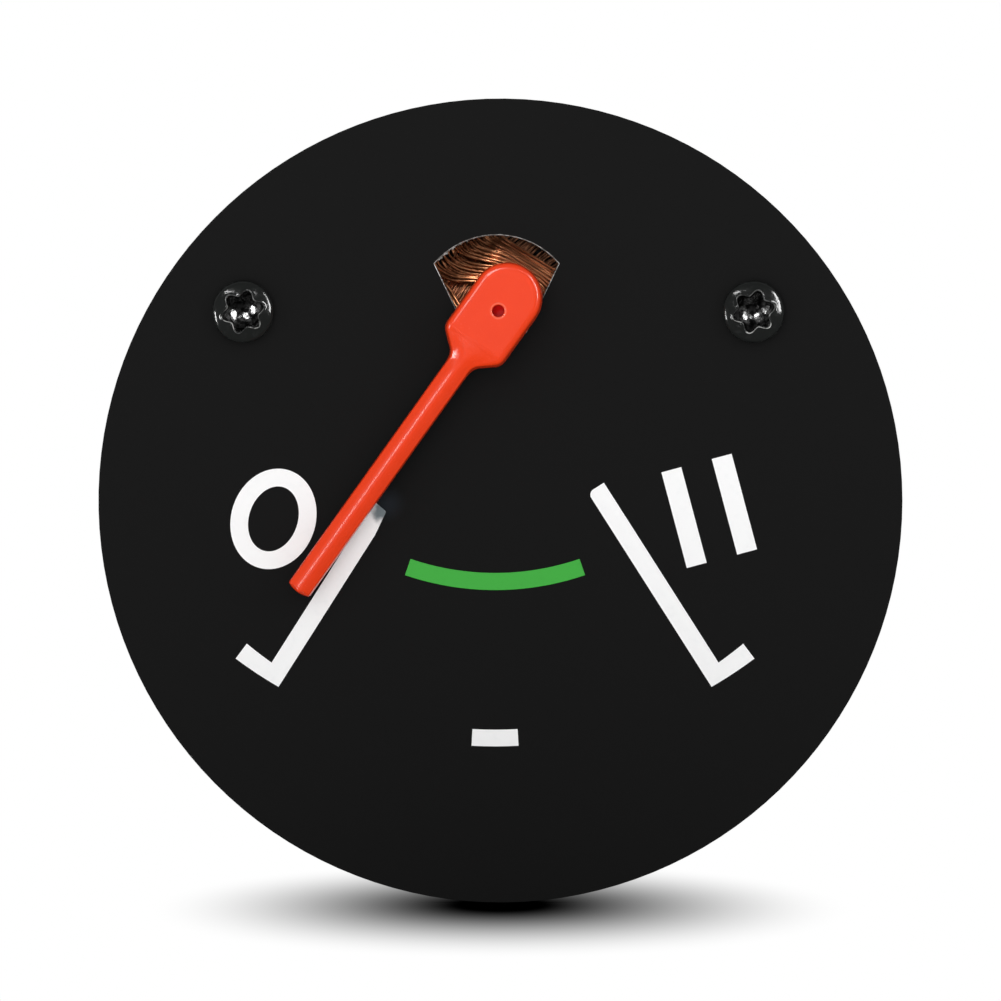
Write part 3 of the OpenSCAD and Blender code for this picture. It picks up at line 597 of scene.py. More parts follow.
# Windings: two crossed coils of enamelled copper wire, wound straight on the former and
# over each other. Each splits into two bundles that pass on both sides of the bearing.
def copper_wire(name, light, dark, run_angle):
    """Enamelled copper whose strands differ in tone, for a winding turned by run_angle."""
    copper = Finish(name)
    strand_stretch = 12
    place = copper.node("ShaderNodeMapping", {"vector_type": "TEXTURE"}, {
        "Vector": copper.place, "Rotation": (0, run_angle, 0), "Scale": (strand_stretch, 1, 1)})
    strand = copper.noise(grain=0.16 * MM, detail=2, place=place)
    length = copper.noise(grain=0.5 * MM, detail=2, place=place)
    tone = copper.spread(strand * 0.6 + length * 0.4, 0.35, 0.65)
    return copper.surface({
        "Base Color": copper.blend(tone, light, dark),
        "Metallic": 1.0,
        "Roughness": 0.26 + length * 0.15})


def rounded_path(corners, steps):
    """A closed path through corners (a, b, radius), each rounded by an arc."""
    path = []
    for i, (a, b, radius) in enumerate(corners):
        here = Vector((a, b))
        before = (Vector(corners[i - 1][:2]) - here).normalized()
        after = (Vector(corners[(i + 1) % len(corners)][:2]) - here).normalized()
        half = before.angle(after) / 2
        centre = here + (before + after).normalized() * radius / math.sin(half)
        start = here + before * radius / math.tan(half) - centre
        end = here + after * radius / math.tan(half) - centre
        sweep = start.angle_signed(end)
        for s in range(steps + 1):
            path.append(centre + Matrix.Rotation(-sweep * s / steps, 2) @ start)
    return path


winding_sizes = {
    **dict.fromkeys(("Turns", "Layers"), "NodeSocketInt"),
    **dict.fromkeys(("Pitch", "Gap", "Wire", "Reach", "Gather", "Crown", "Stray", "Loose",
                     "Twist", "Seed"), "NodeSocketFloat")}
winding = Growth("winding", winding_sizes)
turns, layers, pitch, gap, wire, reach, gather, crown, stray, loose, twist, seed = (
    winding.size(label) for label in winding_sizes)
layer_nest = 0.9
point_gap = 0.3 * MM
wire_sides = 6
index = winding.node("GeometryNodeInputIndex")
layer = (index / (turns * 2)).own("FLOOR")
in_layer = index - layer * turns * 2
far_side = (in_layer + 0.5) > turns
in_bundle = in_layer - far_side * turns
loose_turn = (in_bundle > turns - 1.5) * (layer < 0.5) * loose
across = (far_side * 2 - 1) * (
    gap + wire / 2 + (in_bundle + (layer % 2) * 0.5) * pitch + loose_turn)
starts = winding.node("GeometryNodePoints", None, {
    "Count": turns * 2 * layers,
    "Position": winding.node("ShaderNodeCombineXYZ", None, {1: across})})
shrink = 1 - layer * wire * layer_nest / reach
wire_loops = winding.node("GeometryNodeInstanceOnPoints", None, {
    "Points": starts, "Instance": winding.size("Geometry"),
    "Scale": winding.node("ShaderNodeCombineXYZ", None, {0: shrink, 1: 1.0, 2: shrink})})
curves = winding.node("GeometryNodeMeshToCurve", None, {
    0: winding.node("GeometryNodeRealizeInstances", None, {0: wire_loops})})
spaced = winding.node("GeometryNodeResampleCurve", {"mode": "LENGTH"}, {
    0: curves, "Length": point_gap})
here = winding.node("GeometryNodeInputPosition")
run, side, rise = (winding.node("ShaderNodeSeparateXYZ", None, {0: here}, k) for k in "XYZ")


def waves(per_metre, shift):
    """Noise from -0.5 to 0.5 that differs from strand to strand and changes along them."""
    per_metre_across = 7000
    own = winding.node("ShaderNodeCombineXYZ", None, {
        0: run * per_metre + seed + shift, 1: side * per_metre_across, 2: rise * per_metre})
    return winding.node("ShaderNodeTexNoise", None, {
        "Vector": own, "Scale": 1.0, "Detail": 1.0}) - 0.5


# The strands gather toward the bearing, stray and hump up in front, shift along at the
# shoulders and swerve where the two windings cross. Each effect fades out over a zone.
gather_zone = (0.8 * MM, 3.8 * MM)
front_rise = (0.0, 3.0 * MM)
front_end = (4.5 * MM, 6.5 * MM)
shift_zone = (1.0 * MM, 3.0 * MM)
swerve_rise = (0.0, 2.0 * MM)
swerve_end = (4.6 * MM, 7.2 * MM)
slow_waves = 40
quick_waves = 330
shift_play = 1.6 * MM
outness = (abs(side) - gap) / (turns * pitch)
drawn_in = gather * (1 - outness) * winding.spread(abs(run), *gather_zone)
sign = side.own("SIGN")
bulge = outness * 2 - 1
front = winding.spread(rise, *front_rise) * (1 - winding.spread(abs(run), *front_end))
shoulder_shift = (run.own("SIGN") * waves(slow_waves, 7) * shift_play * front
                  * winding.spread(abs(run), *shift_zone))
moved = winding.node("ShaderNodeCombineXYZ", None, {
    0: run + shoulder_shift,
    1: side - sign * drawn_in + waves(quick_waves, 0) * stray * 2,
    2: rise + (waves(quick_waves, 31) * stray * 1.6 - bulge * bulge * crown) * front})
from_axis = (run * run + side * side) ** 0.5
swerve = (twist * winding.spread(rise, *swerve_rise)
          * (1 - winding.spread(from_axis, *swerve_end)))
swerved = winding.node("ShaderNodeVectorRotate", {"rotation_type": "Z_AXIS"}, {
    "Vector": moved, "Angle": swerve})
strayed = winding.node("GeometryNodeSetPosition", None, {0: spaced, "Position": swerved})
section = winding.node("GeometryNodeCurvePrimitiveCircle", {"mode": "RADIUS"}, {
    "Resolution": wire_sides, "Radius": wire / 2})
tubes = winding.node("GeometryNodeCurveToMesh", None, {0: strayed, 1: section})
winding.close(winding.node("GeometryNodeSetShadeSmooth", None, {0: tubes}))

strand_d = 0.17 * MM
strand_pitch = 0.19 * MM
bearing_gap = 1.45 * MM
bundle_turns = 14
bundle_layers = 3
crossing_twist = math.radians(14)
coil_half = 7.775 * MM
foot_half = 4.95 * MM
shoulder_bend = 2.4 * MM
foot_bend = 0.6 * MM
corner_bend = 0.9 * MM
bend_steps = 8
lead_across = 4.375 * MM
lead_r = 0.125 * MM
lead_sides = 8
lead_start = 1.5 * MM
lead_end = 2 * MM
tag_face = 4.1 * MM


def wound(name, turned_by, shoulder_half, crest, base, foot, random_start, material):
    """One winding. crest, base and foot are its heights over the gauge's seat plane."""
    half = coil_half - strand_d / 2
    corners = [
        (-shoulder_half, crest, shoulder_bend), (-foot_half, base, foot_bend),
        (-half, base, corner_bend), (-half, foot, corner_bend),
        (half, foot, corner_bend), (half, base, corner_bend),
        (foot_half, base, foot_bend), (shoulder_half, crest, shoulder_bend)]
    middle = (crest + foot) / 2
    path = rounded_path([(a, b - middle, r) for a, b, r in corners], bend_steps)
    mesh = bpy.data.meshes.new(name)
    mesh.from_pydata([(p.x, 0, p.y) for p in path],
                     [(i, (i + 1) % len(path)) for i in range(len(path))], [])
    made = bpy.data.objects.new(name, mesh)
    scene.collection.objects.link(made)
    winding.grown(made, turns=bundle_turns, layers=bundle_layers, pitch=strand_pitch,
                  gap=bearing_gap, wire=strand_d, reach=half, gather=1.4 * MM,
                  crown=0.22 * MM, stray=0.09 * MM, loose=0.28 * MM,
                  twist=crossing_twist, seed=random_start, material=material)
    made.data.transform(Matrix.Translation((0, 0, middle)))
    bm = bmesh.new()
    bm.from_mesh(made.data)
    for end in (-1, 1):
        rings = []
        for height in (base - lead_start, foot, foot - lead_end, tag_face + lead_end, tag_face):
            rings.append([
                (end * coil_half + lead_r * math.cos(2 * math.pi * i / lead_sides),
                 end * lead_across + lead_r * math.sin(2 * math.pi * i / lead_sides), height)
                for i in range(lead_sides)])
        joined_loops(bm, rings, closed=False, capped=True)
    bm.to_mesh(made.data)
    bm.free()
    upright = Matrix.Rotation(math.pi / 2, 4, "X")
    made.data.transform(Matrix.Rotation(turned_by, 4, "Y") @ upright)
    made.data.shade_smooth()
    return made


outer_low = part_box("outer_winding")[0]
inner_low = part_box("inner_winding")[0]
former_front_h = 20.05 * MM
outer_turn = math.radians(45)
inner_turn = math.radians(-45)
outer_light = (0.76, 0.34, 0.165)
outer_dark = (0.28, 0.1, 0.044)
# The inner winding's copper is a darker copy of the outer's: painted shade for the winding that
# lies deeper under the dial.
inner_painted_shade_light = (0.46, 0.21, 0.115)
inner_painted_shade_dark = (0.155, 0.062, 0.036)
outer_copper = copper_wire("copper", outer_light, outer_dark, outer_turn - crossing_twist)
inner_copper_painted_shade = copper_wire(
    "copper_inside", inner_painted_shade_light, inner_painted_shade_dark, inner_turn - crossing_twist)
outer = wound("outer_turns", outer_turn, shoulder_half=2.7 * MM,
              crest=-outer_low.y - strand_d / 2, base=former_front_h + 0.65 * MM,
              foot=10.65 * MM, random_start=3.0, material=outer_copper)
inner = wound("inner_turns", inner_turn, shoulder_half=4.1 * MM,
              crest=-inner_low.y - strand_d / 2, base=former_front_h + 0.45 * MM,
              foot=12.05 * MM, random_start=11.0, material=inner_copper_painted_shade)
fitted(outer, "movement", outer_copper, "copper", "outer_winding", "outer_coil")
fitted(inner, "movement", inner_copper_painted_shade, "copper", "inner_winding", "inner_coil")

# Return magnet: a small sintered pin in one of the former's posts. It pulls the pointer
# back to the cold stop when the current is off.
dressed("return_magnet", "return_pin", "movement", ferrite_material, "magnet_grey",
        edge=0.1 * MM)

# Terminal board: punched from brown paper laminate, with its top cut flat. Its layers
# show on the cut edge.
laminate = Finish("board_brown")
laminate_brown = (0.27, 0.13, 0.055)
laminate_dark = (0.13, 0.06, 0.025)
paper_flecks = laminate.noise(grain=0.5 * MM, detail=4, place=laminate.stretched(1, 1, 0.5))
plies = laminate.noise(grain=0.1 * MM, detail=1, place=laminate.stretched(0.03, 1, 0.03))
laminate_material = laminate.surface({
    "Base Color": laminate.blend(paper_flecks * 0.6 + plies * 0.4,
                                 laminate_brown, laminate_dark),
    "Roughness": 0.36 + plies * 0.2,
    "Specular IOR Level": 0.5,
    "Normal": laminate.bump(plies * 0.6 + paper_flecks * 0.4, depth=0.012 * MM)})
dressed("terminal_board", "board_sheet", "movement", laminate_material, "board_brown",
        edge=0.07 * MM, rounds=2)

# Board screws: three slotted cheese-head screws of bright steel that hold the board to
# the frame's legs.
dressed("board_screws", "cheese_head_screws", "movement", steel_material, "steel",
        edge=0.08 * MM, rounds=2)

# Terminal studs: three brass studs with a rolled thread outside the board and a plain
# shank through it, each turned with the collar that seats on the mounting plate.
stud_low, stud_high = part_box("terminal_studs")
stud_circle = 12 * MM
first_stud = math.radians(30)
stud_r = 2 * MM
shank_r = 1.5 * MM
collar_r = 3.5 * MM
collar_t = 1.2 * MM
collar_edge = 0.1 * MM
thread_pitch = 0.7 * MM
thread_depth = 0.4 * MM
thread_start = 0.5 * MM
thread_runout = 0.8 * thread_pitch
crest_cut = 1.25
thread_around = 40
thread_per_turn = 10
point_l = 0.5 * MM


def thread_radius(y, angle):
    """The stud's radius at a place on its rolled thread."""
    phase = (y / thread_pitch - angle / (2 * math.pi)) % 1
    crest = min(1, (1 - abs(2 * phase - 1)) * crest_cut)
    point = min(1, (stud_high.y - y) / point_l)
    run_out = min(1, (y - thread_start) / thread_runout)
    root = stud_r - thread_depth * run_out
    return min(root + (stud_r - root) * crest, stud_r - thread_depth * (1 - point))


stud_profile = [
    (stud_low.y, shank_r - 2 * collar_edge), (stud_low.y + 2 * collar_edge, shank_r),
    (-collar_t, shank_r), (-collar_t, collar_r - collar_edge),
    (-collar_t + collar_edge, collar_r), (-collar_edge, collar_r),
    (0, collar_r - collar_edge), (0, stud_r), (thread_start, stud_r)]
stud_loops = [ring_points([r] * thread_around, y) for y, r in stud_profile]
thread_l = stud_high.y - thread_start
thread_steps = round(thread_l / thread_pitch * thread_per_turn)
for step in range(1, thread_steps + 1):
    y = thread_start + thread_l * step / thread_steps
    stud_loops.append(ring_points([thread_radius(y, 2 * math.pi * i / thread_around)
                                   for i in range(thread_around)], y))
bm = bmesh.new()
joined_loops(bm, stud_loops, closed=False, capped=True)
studs = circle_of.grown(plain_mesh("threaded_studs", outward(bm), 35), count=3,
                        circle=stud_circle, first_angle=first_stud, material=brass_material)
fitted(studs, "movement", brass_material, "brass", "terminal_studs")

# Fibre washers: punched from red vulcanised fibre, one under each collar. They take up
# the clamping force without cracking the board.
fibre_red = (0.36, 0.055, 0.03)
fibre_dark = (0.2, 0.03, 0.02)
fibre_material = mottled("fibre_red", (fibre_red, fibre_dark), grain=0.25 * MM,
                         detail=4, roughness=0.6, depth=0.02 * MM)
dressed("fibre_washers", "fibre_rings", "movement", fibre_material, "fibre_red",
        edge=0.06 * MM, rounds=2)

# Solder tags: three strips of tinned brass under the nuts, which carry the current from
# the studs to the windings and the resistor.
tinned = Finish("tinned")
tin_bright = (0.68, 0.67, 0.64)
tin_dull = (0.45, 0.44, 0.42)
tin_cloud = tinned.noise(grain=0.6 * MM, detail=4)
tin_ripple = tinned.noise(grain=0.25 * MM, detail=2)
tinned_material = tinned.surface({
    "Base Color": tinned.blend(tin_cloud, tin_bright, tin_dull),
    "Metallic": 1.0,
    "Roughness": 0.25 + tin_cloud * 0.25,
    "Normal": tinned.bump(tin_ripple, depth=0.02 * MM)})
dressed("solder_tags", "tag_strips", "movement", tinned_material, "tinned",
        edge=0.06 * MM, rounds=2)
joint_profile = [
    (0, 0.95), (-0.12, 0.9), (-0.3, 0.68), (-0.5, 0.44), (-0.75, 0.3), (-0.95, 0.2)]
joint_steps = 32
lead_circle = 8.922 * MM
first_lead = math.radians(74.37)
bm = bmesh.new()
turned(bm, [(-tag_face + y * MM, r * MM) for y, r in joint_profile], steps=joint_steps)
lead_joints = circle_of.grown(plain_mesh("lead_solder", outward(bm)), count=4,
                              circle=lead_circle, first_angle=first_lead,
                              material=tinned_material)
fitted(lead_joints, "movement", tinned_material, "tinned")

# Stud nuts: three brass hexagon nuts, chamfered on both faces, which clamp the tags and
# the board against the studs' collars.
nut_low, nut_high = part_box("stud_nuts")
nut_half_af = 2.75 * MM
washer_face_r = 0.97 * nut_half_af
chamfer_slope = math.radians(30)
nut_bore = 1.55 * MM
nut_sides = 6
nut_steps = 96
face_edge = 0.15 * MM
chamfer_l = 0.3 * MM
chamfer_steps = 5


def hexagon_loop(y, drop):
    """A loop round the nut at a depth from its face, cut by the face's chamfer."""
    cone = washer_face_r + drop / math.tan(chamfer_slope)
    sector = 2 * math.pi / nut_sides
    radii = []
    for step in range(nut_steps):
        angle = 2 * math.pi * step / nut_steps + sector / 2
        radii.append(min(cone, nut_half_af / math.cos(angle % sector - sector / 2)))
    return ring_points(radii, y)


drops = [chamfer_l * step / chamfer_steps for step in range(chamfer_steps + 1)]
bore_loop = [nut_bore] * nut_steps
edge_loop = [nut_bore + face_edge] * nut_steps
bm = bmesh.new()
joined_loops(bm, [
    ring_points(bore_loop, nut_low.y + face_edge), ring_points(edge_loop, nut_low.y),
    *(hexagon_loop(nut_low.y + drop, drop) for drop in drops),
    *(hexagon_loop(nut_high.y - drop, drop) for drop in reversed(drops)),
    ring_points(edge_loop, nut_high.y), ring_points(bore_loop, nut_high.y - face_edge)])
stud_nuts = circle_of.grown(plain_mesh("hexagon_nuts", outward(bm), 25), count=3,
                            circle=stud_circle, first_angle=first_stud,
                            material=brass_material)
fitted(stud_nuts, "movement", brass_material, "brass", "stud_nuts")

# Resistor: a wire-wound ceramic rod with pressed end caps and tinned wires, soldered
# across the two upper tags to trim the gauge.
ceramic_buff = (0.62, 0.5, 0.33)
ceramic_dark = (0.45, 0.33, 0.2)
ceramic_material = mottled("resistor_ceramic", (ceramic_buff, ceramic_dark), grain=0.2 * MM,
                           detail=3, roughness=0.4, depth=0.01 * MM)
dressed("resistor_body", "resistor_rod", "movement", ceramic_material, "resistor_ceramic",
        edge=0.15 * MM)
dressed("resistor_wires", "resistor_leads", "movement", tinned_material, "tinned",
        edge=0.02 * MM, rounds=1, over=60)
resistor_ends = (-8.59 * MM, 9.105 * MM)
bm = bmesh.new()
for x in resistor_ends:
    turned(bm, [(-tag_face + y * MM, r * MM) for y, r in joint_profile], (x, 0), joint_steps)
fitted(plain_mesh("resistor_solder", outward(bm)), "movement", tinned_material, "tinned")

# Dial plate: a disc blanked from thin sheet and screened matt black on its face and rim.
# Its back is bare rolled metal, and the window's cut edge is bright, with a burr.
dial_black = Finish("dial_black")
dial_paint = (0.0094, 0.0094, 0.0094)
smudge_tint = (0.016, 0.019, 0.023)
smudge_r = 1.4 * MM
paint_grain = dial_black.noise(grain=0.07 * MM, detail=3)
from_smudge = dial_black.away_from(-7.2 * MM, -12.4 * MM)
dial_material = dial_black.surface({
    "Base Color": dial_black.blend(dial_black.spread(from_smudge, 0, smudge_r, 1.0, 0.0),
                                   dial_paint, smudge_tint),
    "Roughness": 0.66 + paint_grain * 0.1,
    "Specular IOR Level": 0.01,
    "Normal": dial_black.bump(paint_grain, depth=0.003 * MM)})
bare = Finish("dial_bare_metal")
bare_light = (0.42, 0.42, 0.41)
bare_dark = (0.14, 0.14, 0.13)
cut_marks = bare.noise(grain=0.25 * MM, detail=3)
bare_material = bare.surface({
    "Base Color": bare.blend(bare.spread(cut_marks, 0.4, 0.62), bare_light, bare_dark),
    "Metallic": 0.2,
    "Roughness": 0.5 + cut_marks * 0.15,
    "Specular IOR Level": 0.2,
    "Normal": bare.bump(cut_marks, depth=0.01 * MM)})
sheet = Finish("dial_sheet")
sheet_light = (0.6, 0.61, 0.61)
sheet_dark = (0.47, 0.48, 0.48)
rolled = sheet.noise(grain=0.3 * MM, detail=3, place=sheet.stretched(0.04, 1, 1))
sheet_cloud = sheet.noise(grain=5 * MM, detail=3)
sheet_material = sheet.surface({
    "Base Color": sheet.blend(sheet_cloud * 0.5 + rolled * 0.5, sheet_light, sheet_dark),
    "Metallic": 0.85,
    "Roughness": 0.34 + rolled * 0.16,
    "Normal": sheet.bump(rolled, depth=0.006 * MM)})
window_reach = 6 * MM
window_edge = 0.05 * MM
on_face = 0.01 * MM
cut_angle = math.radians(60)
burr_from = math.radians(94)
burr_to = math.radians(141)
burr_steps = 60
burr_w = 0.14 * MM
burr_back = 0.09 * MM
burr_t = 0.12 * MM
burr_root = 0.05 * MM
burr_fade = 8
burr_waves = ((0.35, 61, 0), (0.3, 143, 1))
dial = merged_copy("dial_plate", "dial_disc")

# The window's front edge is rounded, and a ragged burr stands in from its upper left.
bm = bmesh.new()
bm.from_mesh(dial.data)
window_edges = [
    edge for edge in bm.edges
    if all(abs(v.co.y - dial_front) < on_face for v in edge.verts)
    and all(v.co.xz.length < window_reach for v in edge.verts)
    and edge.calc_face_angle(0) > cut_angle]
window_r = max(v.co.xz.length for edge in window_edges for v in edge.verts)
bmesh.ops.bevel(bm, geom=window_edges, offset=window_edge, segments=2, profile=0.5,
                affect="EDGES")
burr_loops = []
for step in range(burr_steps + 1):
    share = step / burr_steps
    angle = burr_from + (burr_to - burr_from) * share
    ragged = 1 + sum(size * math.sin(count * angle + start)
                     for size, count, start in burr_waves)
    out_r = window_r + burr_root
    faded = min(1, burr_fade * share, burr_fade * (1 - share)) ** 0.5
    in_r = window_r - burr_w * ragged * faded
    burr_loops.append([(r * math.cos(angle), y, r * math.sin(angle)) for r, y in (
        (out_r, dial_front + burr_back), (in_r, dial_front + burr_back),
        (in_r, dial_front + burr_back + burr_t), (out_r, dial_front + burr_back + burr_t))])
joined_loops(bm, burr_loops, closed=False, capped=True)
outward(bm)
bm.to_mesh(dial.data)
bm.free()
dial = bevelled(dial, edge=0.04 * MM, rounds=2, over=50)
dial_finishes = [dial_material, bare_material, sheet_material]
for finish in dial_finishes:
    dial.data.materials.append(finish)
flat_on = 0.95
back_from = 0.9
below_middle = -0.5 * MM
rim_r = (dial_high.x - dial_low.x) / 2 - 0.5 * MM
for face in dial.data.polygons:
    on_front = face.normal.y < -flat_on and face.center.y < dial_front + burr_back / 2
    # Below the hub the window's cut edge takes the black paint: painted shade under the hub.
    below_hub_painted_shade = face.center.z < below_middle and face.center.xz.length < window_reach
    from_middle = (face.center.xz - dial_middle.xz).length
    on_rim = from_middle > rim_r and face.normal.y < back_from
    finish = sheet_material if face.normal.y > flat_on else bare_material
    if on_front or below_hub_painted_shade or on_rim:
        finish = dial_material
    face.material_index = dial_finishes.index(finish)
fitted(dial, "movement", dial_material, "dial_black", "dial_plate")

# Print: white and green screen inks on the black, a few hundredths thick. They are two
# limit lines with hooks, the middle bar, two plain numerals and the band of normal heat.
white_ink = Finish("print_white")
ink_white = (0.95, 0.95, 0.95)
ink_thin = (0.9, 0.905, 0.91)
# The upper end of the left limit line fades to blue-grey: a painted shadow of the pointer.
ink_painted_shadow = (0.16, 0.195, 0.21)
line_shadow_r = 0.25 * MM
line_shadow_end_r = 0.9 * MM
line_shadow_ragged = 0.6 * MM
white_cloud = white_ink.noise(grain=0.5 * MM, detail=3)
line_shadow_cloud = white_ink.noise(grain=0.5 * MM, detail=2)
from_line_shadow = white_ink.away_from(-7.58 * MM, -12.93 * MM)
line_painted_shadow = white_ink.spread(
    from_line_shadow + (line_shadow_cloud - 0.5) * line_shadow_ragged, line_shadow_r, line_shadow_end_r, 1.0, 0.0)
fresh_white = white_ink.blend(white_ink.spread(white_cloud, 0.5, 0.9), ink_white, ink_thin)
white_material = white_ink.surface({
    "Base Color": white_ink.blend(line_painted_shadow, fresh_white, ink_painted_shadow),
    "Roughness": 0.5 + white_cloud * 0.15,
    "Specular IOR Level": 0.25,
    "Normal": white_ink.bump(white_cloud, depth=0.003 * MM)})
green_ink = Finish("print_green")
ink_green = (0.031, 0.41, 0.031)
ink_green_thin = (0.028, 0.385, 0.028)
green_cloud = green_ink.noise(grain=0.4 * MM, detail=3)
green_material = green_ink.surface({
    "Base Color": green_ink.blend(green_ink.spread(green_cloud, 0.5, 0.9),
                                  ink_green, ink_green_thin),
    "Roughness": 0.5 + green_cloud * 0.15,
    "Specular IOR Level": 0.2,
    "Normal": green_ink.bump(green_cloud, depth=0.003 * MM)})
white_print = merged_copy("scale_marks", "white_print")

# The left limit line runs on a little past its pair, and the right corner of its end is
# worn back. Two corners of the print are soft.
soft_corners = {(5.96, -11.39): 0.4 * MM, (-7.3, -12.77): 0.12 * MM}
left_line_end = Vector((-7.6, -12.8)) * MM
left_line_more = Vector((0.13, 0.23)) * MM
end_reach = 1.4 * MM
worn_corner = Vector((-7.07, -12.77)) * MM
corner_reach = 0.2 * MM
worn_l = 1.8 * MM
worn_w = 0.24 * MM
bm = bmesh.new()
bm.from_mesh(white_print.data)
for v in bm.verts:
    if (v.co.xz - left_line_end).length < end_reach:
        v.co.x += left_line_more.x
        v.co.z += left_line_more.y
waist = []
for v in [v for v in bm.verts if (v.co.xz - worn_corner).length < corner_reach]:
    long_edge = max(v.link_edges, key=lambda edge: edge.calc_length())
    waist.append(bmesh.utils.edge_split(long_edge, v, worn_l / long_edge.calc_length())[1])
    v.co.x -= worn_w
bmesh.ops.connect_vert_pair(bm, verts=waist)
for (x, z), corner_r in soft_corners.items():
    upright = [edge for edge in bm.edges
               if (edge.verts[0].co - edge.verts[1].co).xz.length < same_point]
    nearest = min(upright, key=lambda edge: (
        edge.verts[0].co.xz - Vector((x, z)) * MM).length)
    bmesh.ops.bevel(bm, geom=[nearest], offset=corner_r, segments=6, profile=0.5,
                    affect="EDGES")
bm.to_mesh(white_print.data)
bm.free()
fitted(bevelled(white_print, edge=0.02 * MM, rounds=1),
       "movement", white_material, "print_white", "scale_marks")
dressed("normal_band", "green_print", "movement", green_material, "print_green",
        edge=0.02 * MM, rounds=1)

# Dial screws: two black-oxidised steel screws with a low dome and a six-lobe recess,
# which hold the dial to the pillars.
black_oxide = Finish("screw_black")
oxide_black = (0.0125, 0.0135, 0.013)
oxide_worn = (0.024, 0.025, 0.025)
oxide_cloud = black_oxide.noise(grain=0.35 * MM, detail=3)
oxide_grain = black_oxide.noise(grain=0.15 * MM, detail=2)
oxide_material = black_oxide.surface({
    "Base Color": black_oxide.blend(black_oxide.spread(oxide_cloud, 0.55, 0.85),
                                    oxide_black, oxide_worn),
    "Roughness": 0.09 + oxide_cloud * 0.08,
    "Specular IOR Level": 0.2,
    "Normal": black_oxide.bump(oxide_cloud * 0.6 + oxide_grain * 0.4, depth=0.012 * MM)})
# The recess's lip shows grey steel through the black: partly wear, and partly a painted
# highlight that grows towards the lower side.
edge_steel = (0.4, 0.4, 0.39)
lip_wear_and_glint = Finish("screw_edge")
most_wear_and_glint_z = -0.6 * MM
least_wear_and_glint_z = 0.1 * MM
scratches = lip_wear_and_glint.noise(grain=0.4 * MM, detail=2)
wear_and_glint_low = lip_wear_and_glint.spread(
    lip_wear_and_glint.axis("Z"), most_wear_and_glint_z, least_wear_and_glint_z, 1.0, 0.25)
wear_and_glint = wear_and_glint_low * lip_wear_and_glint.spread(scratches, 0.4, 0.56)
lip_wear_and_glint_material = lip_wear_and_glint.surface({
    "Base Color": lip_wear_and_glint.blend(wear_and_glint, oxide_worn, edge_steel),
    "Metallic": 0.1,
    "Roughness": 0.35 + wear_and_glint * 0.1,
    "Specular IOR Level": 0.2})
recess_dark = (0.02, 0.02, 0.02)
recess_light = (0.12, 0.12, 0.12)
recess_steel = Finish("screw_recess")
driver_marks = recess_steel.noise(grain=0.3 * MM, detail=2)
recess_material = recess_steel.surface({
    "Base Color": recess_steel.blend(recess_steel.spread(driver_marks, 0.4, 0.6),
                                     recess_dark, recess_light),
    "Metallic": 1.0,
    "Roughness": 0.16 + driver_marks * 0.12,
    "Normal": recess_steel.bump(driver_marks, depth=0.03 * MM)})
screw_low, screw_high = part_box("dial_screws")
head_r = 2 * MM
head_t = 1.3 * MM
dome_r = 4 * MM
head_edge = 0.2 * MM
dish_r = 1.1 * MM
dish_depth = 1.2 * MM
lobe_mean = 1.2 * MM
lobe_swing = 0.2 * MM
lobe_turn = math.radians(16)
lobe_edge = 0.07 * MM
screw_shank_r = 0.95 * MM
screw_point = 0.3 * MM
screw_steps = 120
screw_edge_steps = 6
screw_circle = (screw_high.x - screw_low.x) / 2 - head_r
recess_shares = (0.02, 0.15, 0.3, 0.45, 0.6, 0.75, 0.88, 0.96)
recess_lip = 0.99
lip_bends = (0, 30, 60, 90)
flat_shares = (0.2, 0.4, 0.6, 0.8, 1)


def lobe_r(angle):
    """Reach of the six-lobe recess from the screw's axis."""
    return lobe_mean + lobe_swing * math.cos(6 * (angle - lobe_turn))


def dome_y(r):
    """The domed head's face at a distance from the screw's axis."""
    return screw_low.y + dome_r - math.sqrt(dome_r ** 2 - r ** 2)


def dish_y(r):
    """The dished floor of the recess."""
    return screw_low.y + dish_depth - r ** 2 / (2 * dish_r)


def head_loop(place):
    """A loop round the head; place gives (radius, y) at an angle."""
    loop = []
    for step in range(screw_steps):
        angle = 2 * math.pi * step / screw_steps
        r, y = place(angle)
        loop.append((r * math.cos(angle), y, r * math.sin(angle)))
    return loop


def to_flat(angle, share):
    """Distance from the axis on the dome, from the recess's lip at 0 to its edge at 1."""
    lip_r = lobe_r(angle) + lobe_edge
    return lip_r + (flat_r - lip_r) * share


flat_r = head_r - head_edge
screw_loops = [head_loop(lambda a, s=s: (lobe_r(a) * s, dish_y(lobe_r(a) * s)))
               for s in recess_shares]
recess_faces = range((len(screw_loops) - 1) * screw_steps)
rim_start = len(screw_loops)
rim_faces = range(rim_start * screw_steps, (rim_start + len(lip_bends)) * screw_steps)
screw_loops.append(head_loop(lambda a: (
    lobe_r(a) * recess_lip, (dish_y(lobe_r(a)) + dome_y(lobe_r(a)) + lobe_edge) / 2)))
for lip_bend in lip_bends:
    bend = math.radians(lip_bend)
    screw_loops.append(head_loop(lambda a, bend=bend: (
        lobe_r(a) + lobe_edge * (1 - math.cos(bend)),
        dome_y(lobe_r(a)) + lobe_edge * (1 - math.sin(bend)))))
screw_loops += [head_loop(lambda a, s=s: (to_flat(a, s), dome_y(to_flat(a, s))))
                for s in flat_shares]
lean = math.asin(flat_r / dome_r)
head_edge_r = head_edge / (1 - math.sin(lean))
for step in range(1, screw_edge_steps + 1):
    bend = lean + (math.pi / 2 - lean) * step / screw_edge_steps
    screw_loops.append(ring_points(
        [flat_r + head_edge_r * (math.sin(bend) - math.sin(lean))] * screw_steps,
        dome_y(flat_r) + head_edge_r * (math.cos(lean) - math.cos(bend))))
seat_y = screw_low.y + head_t
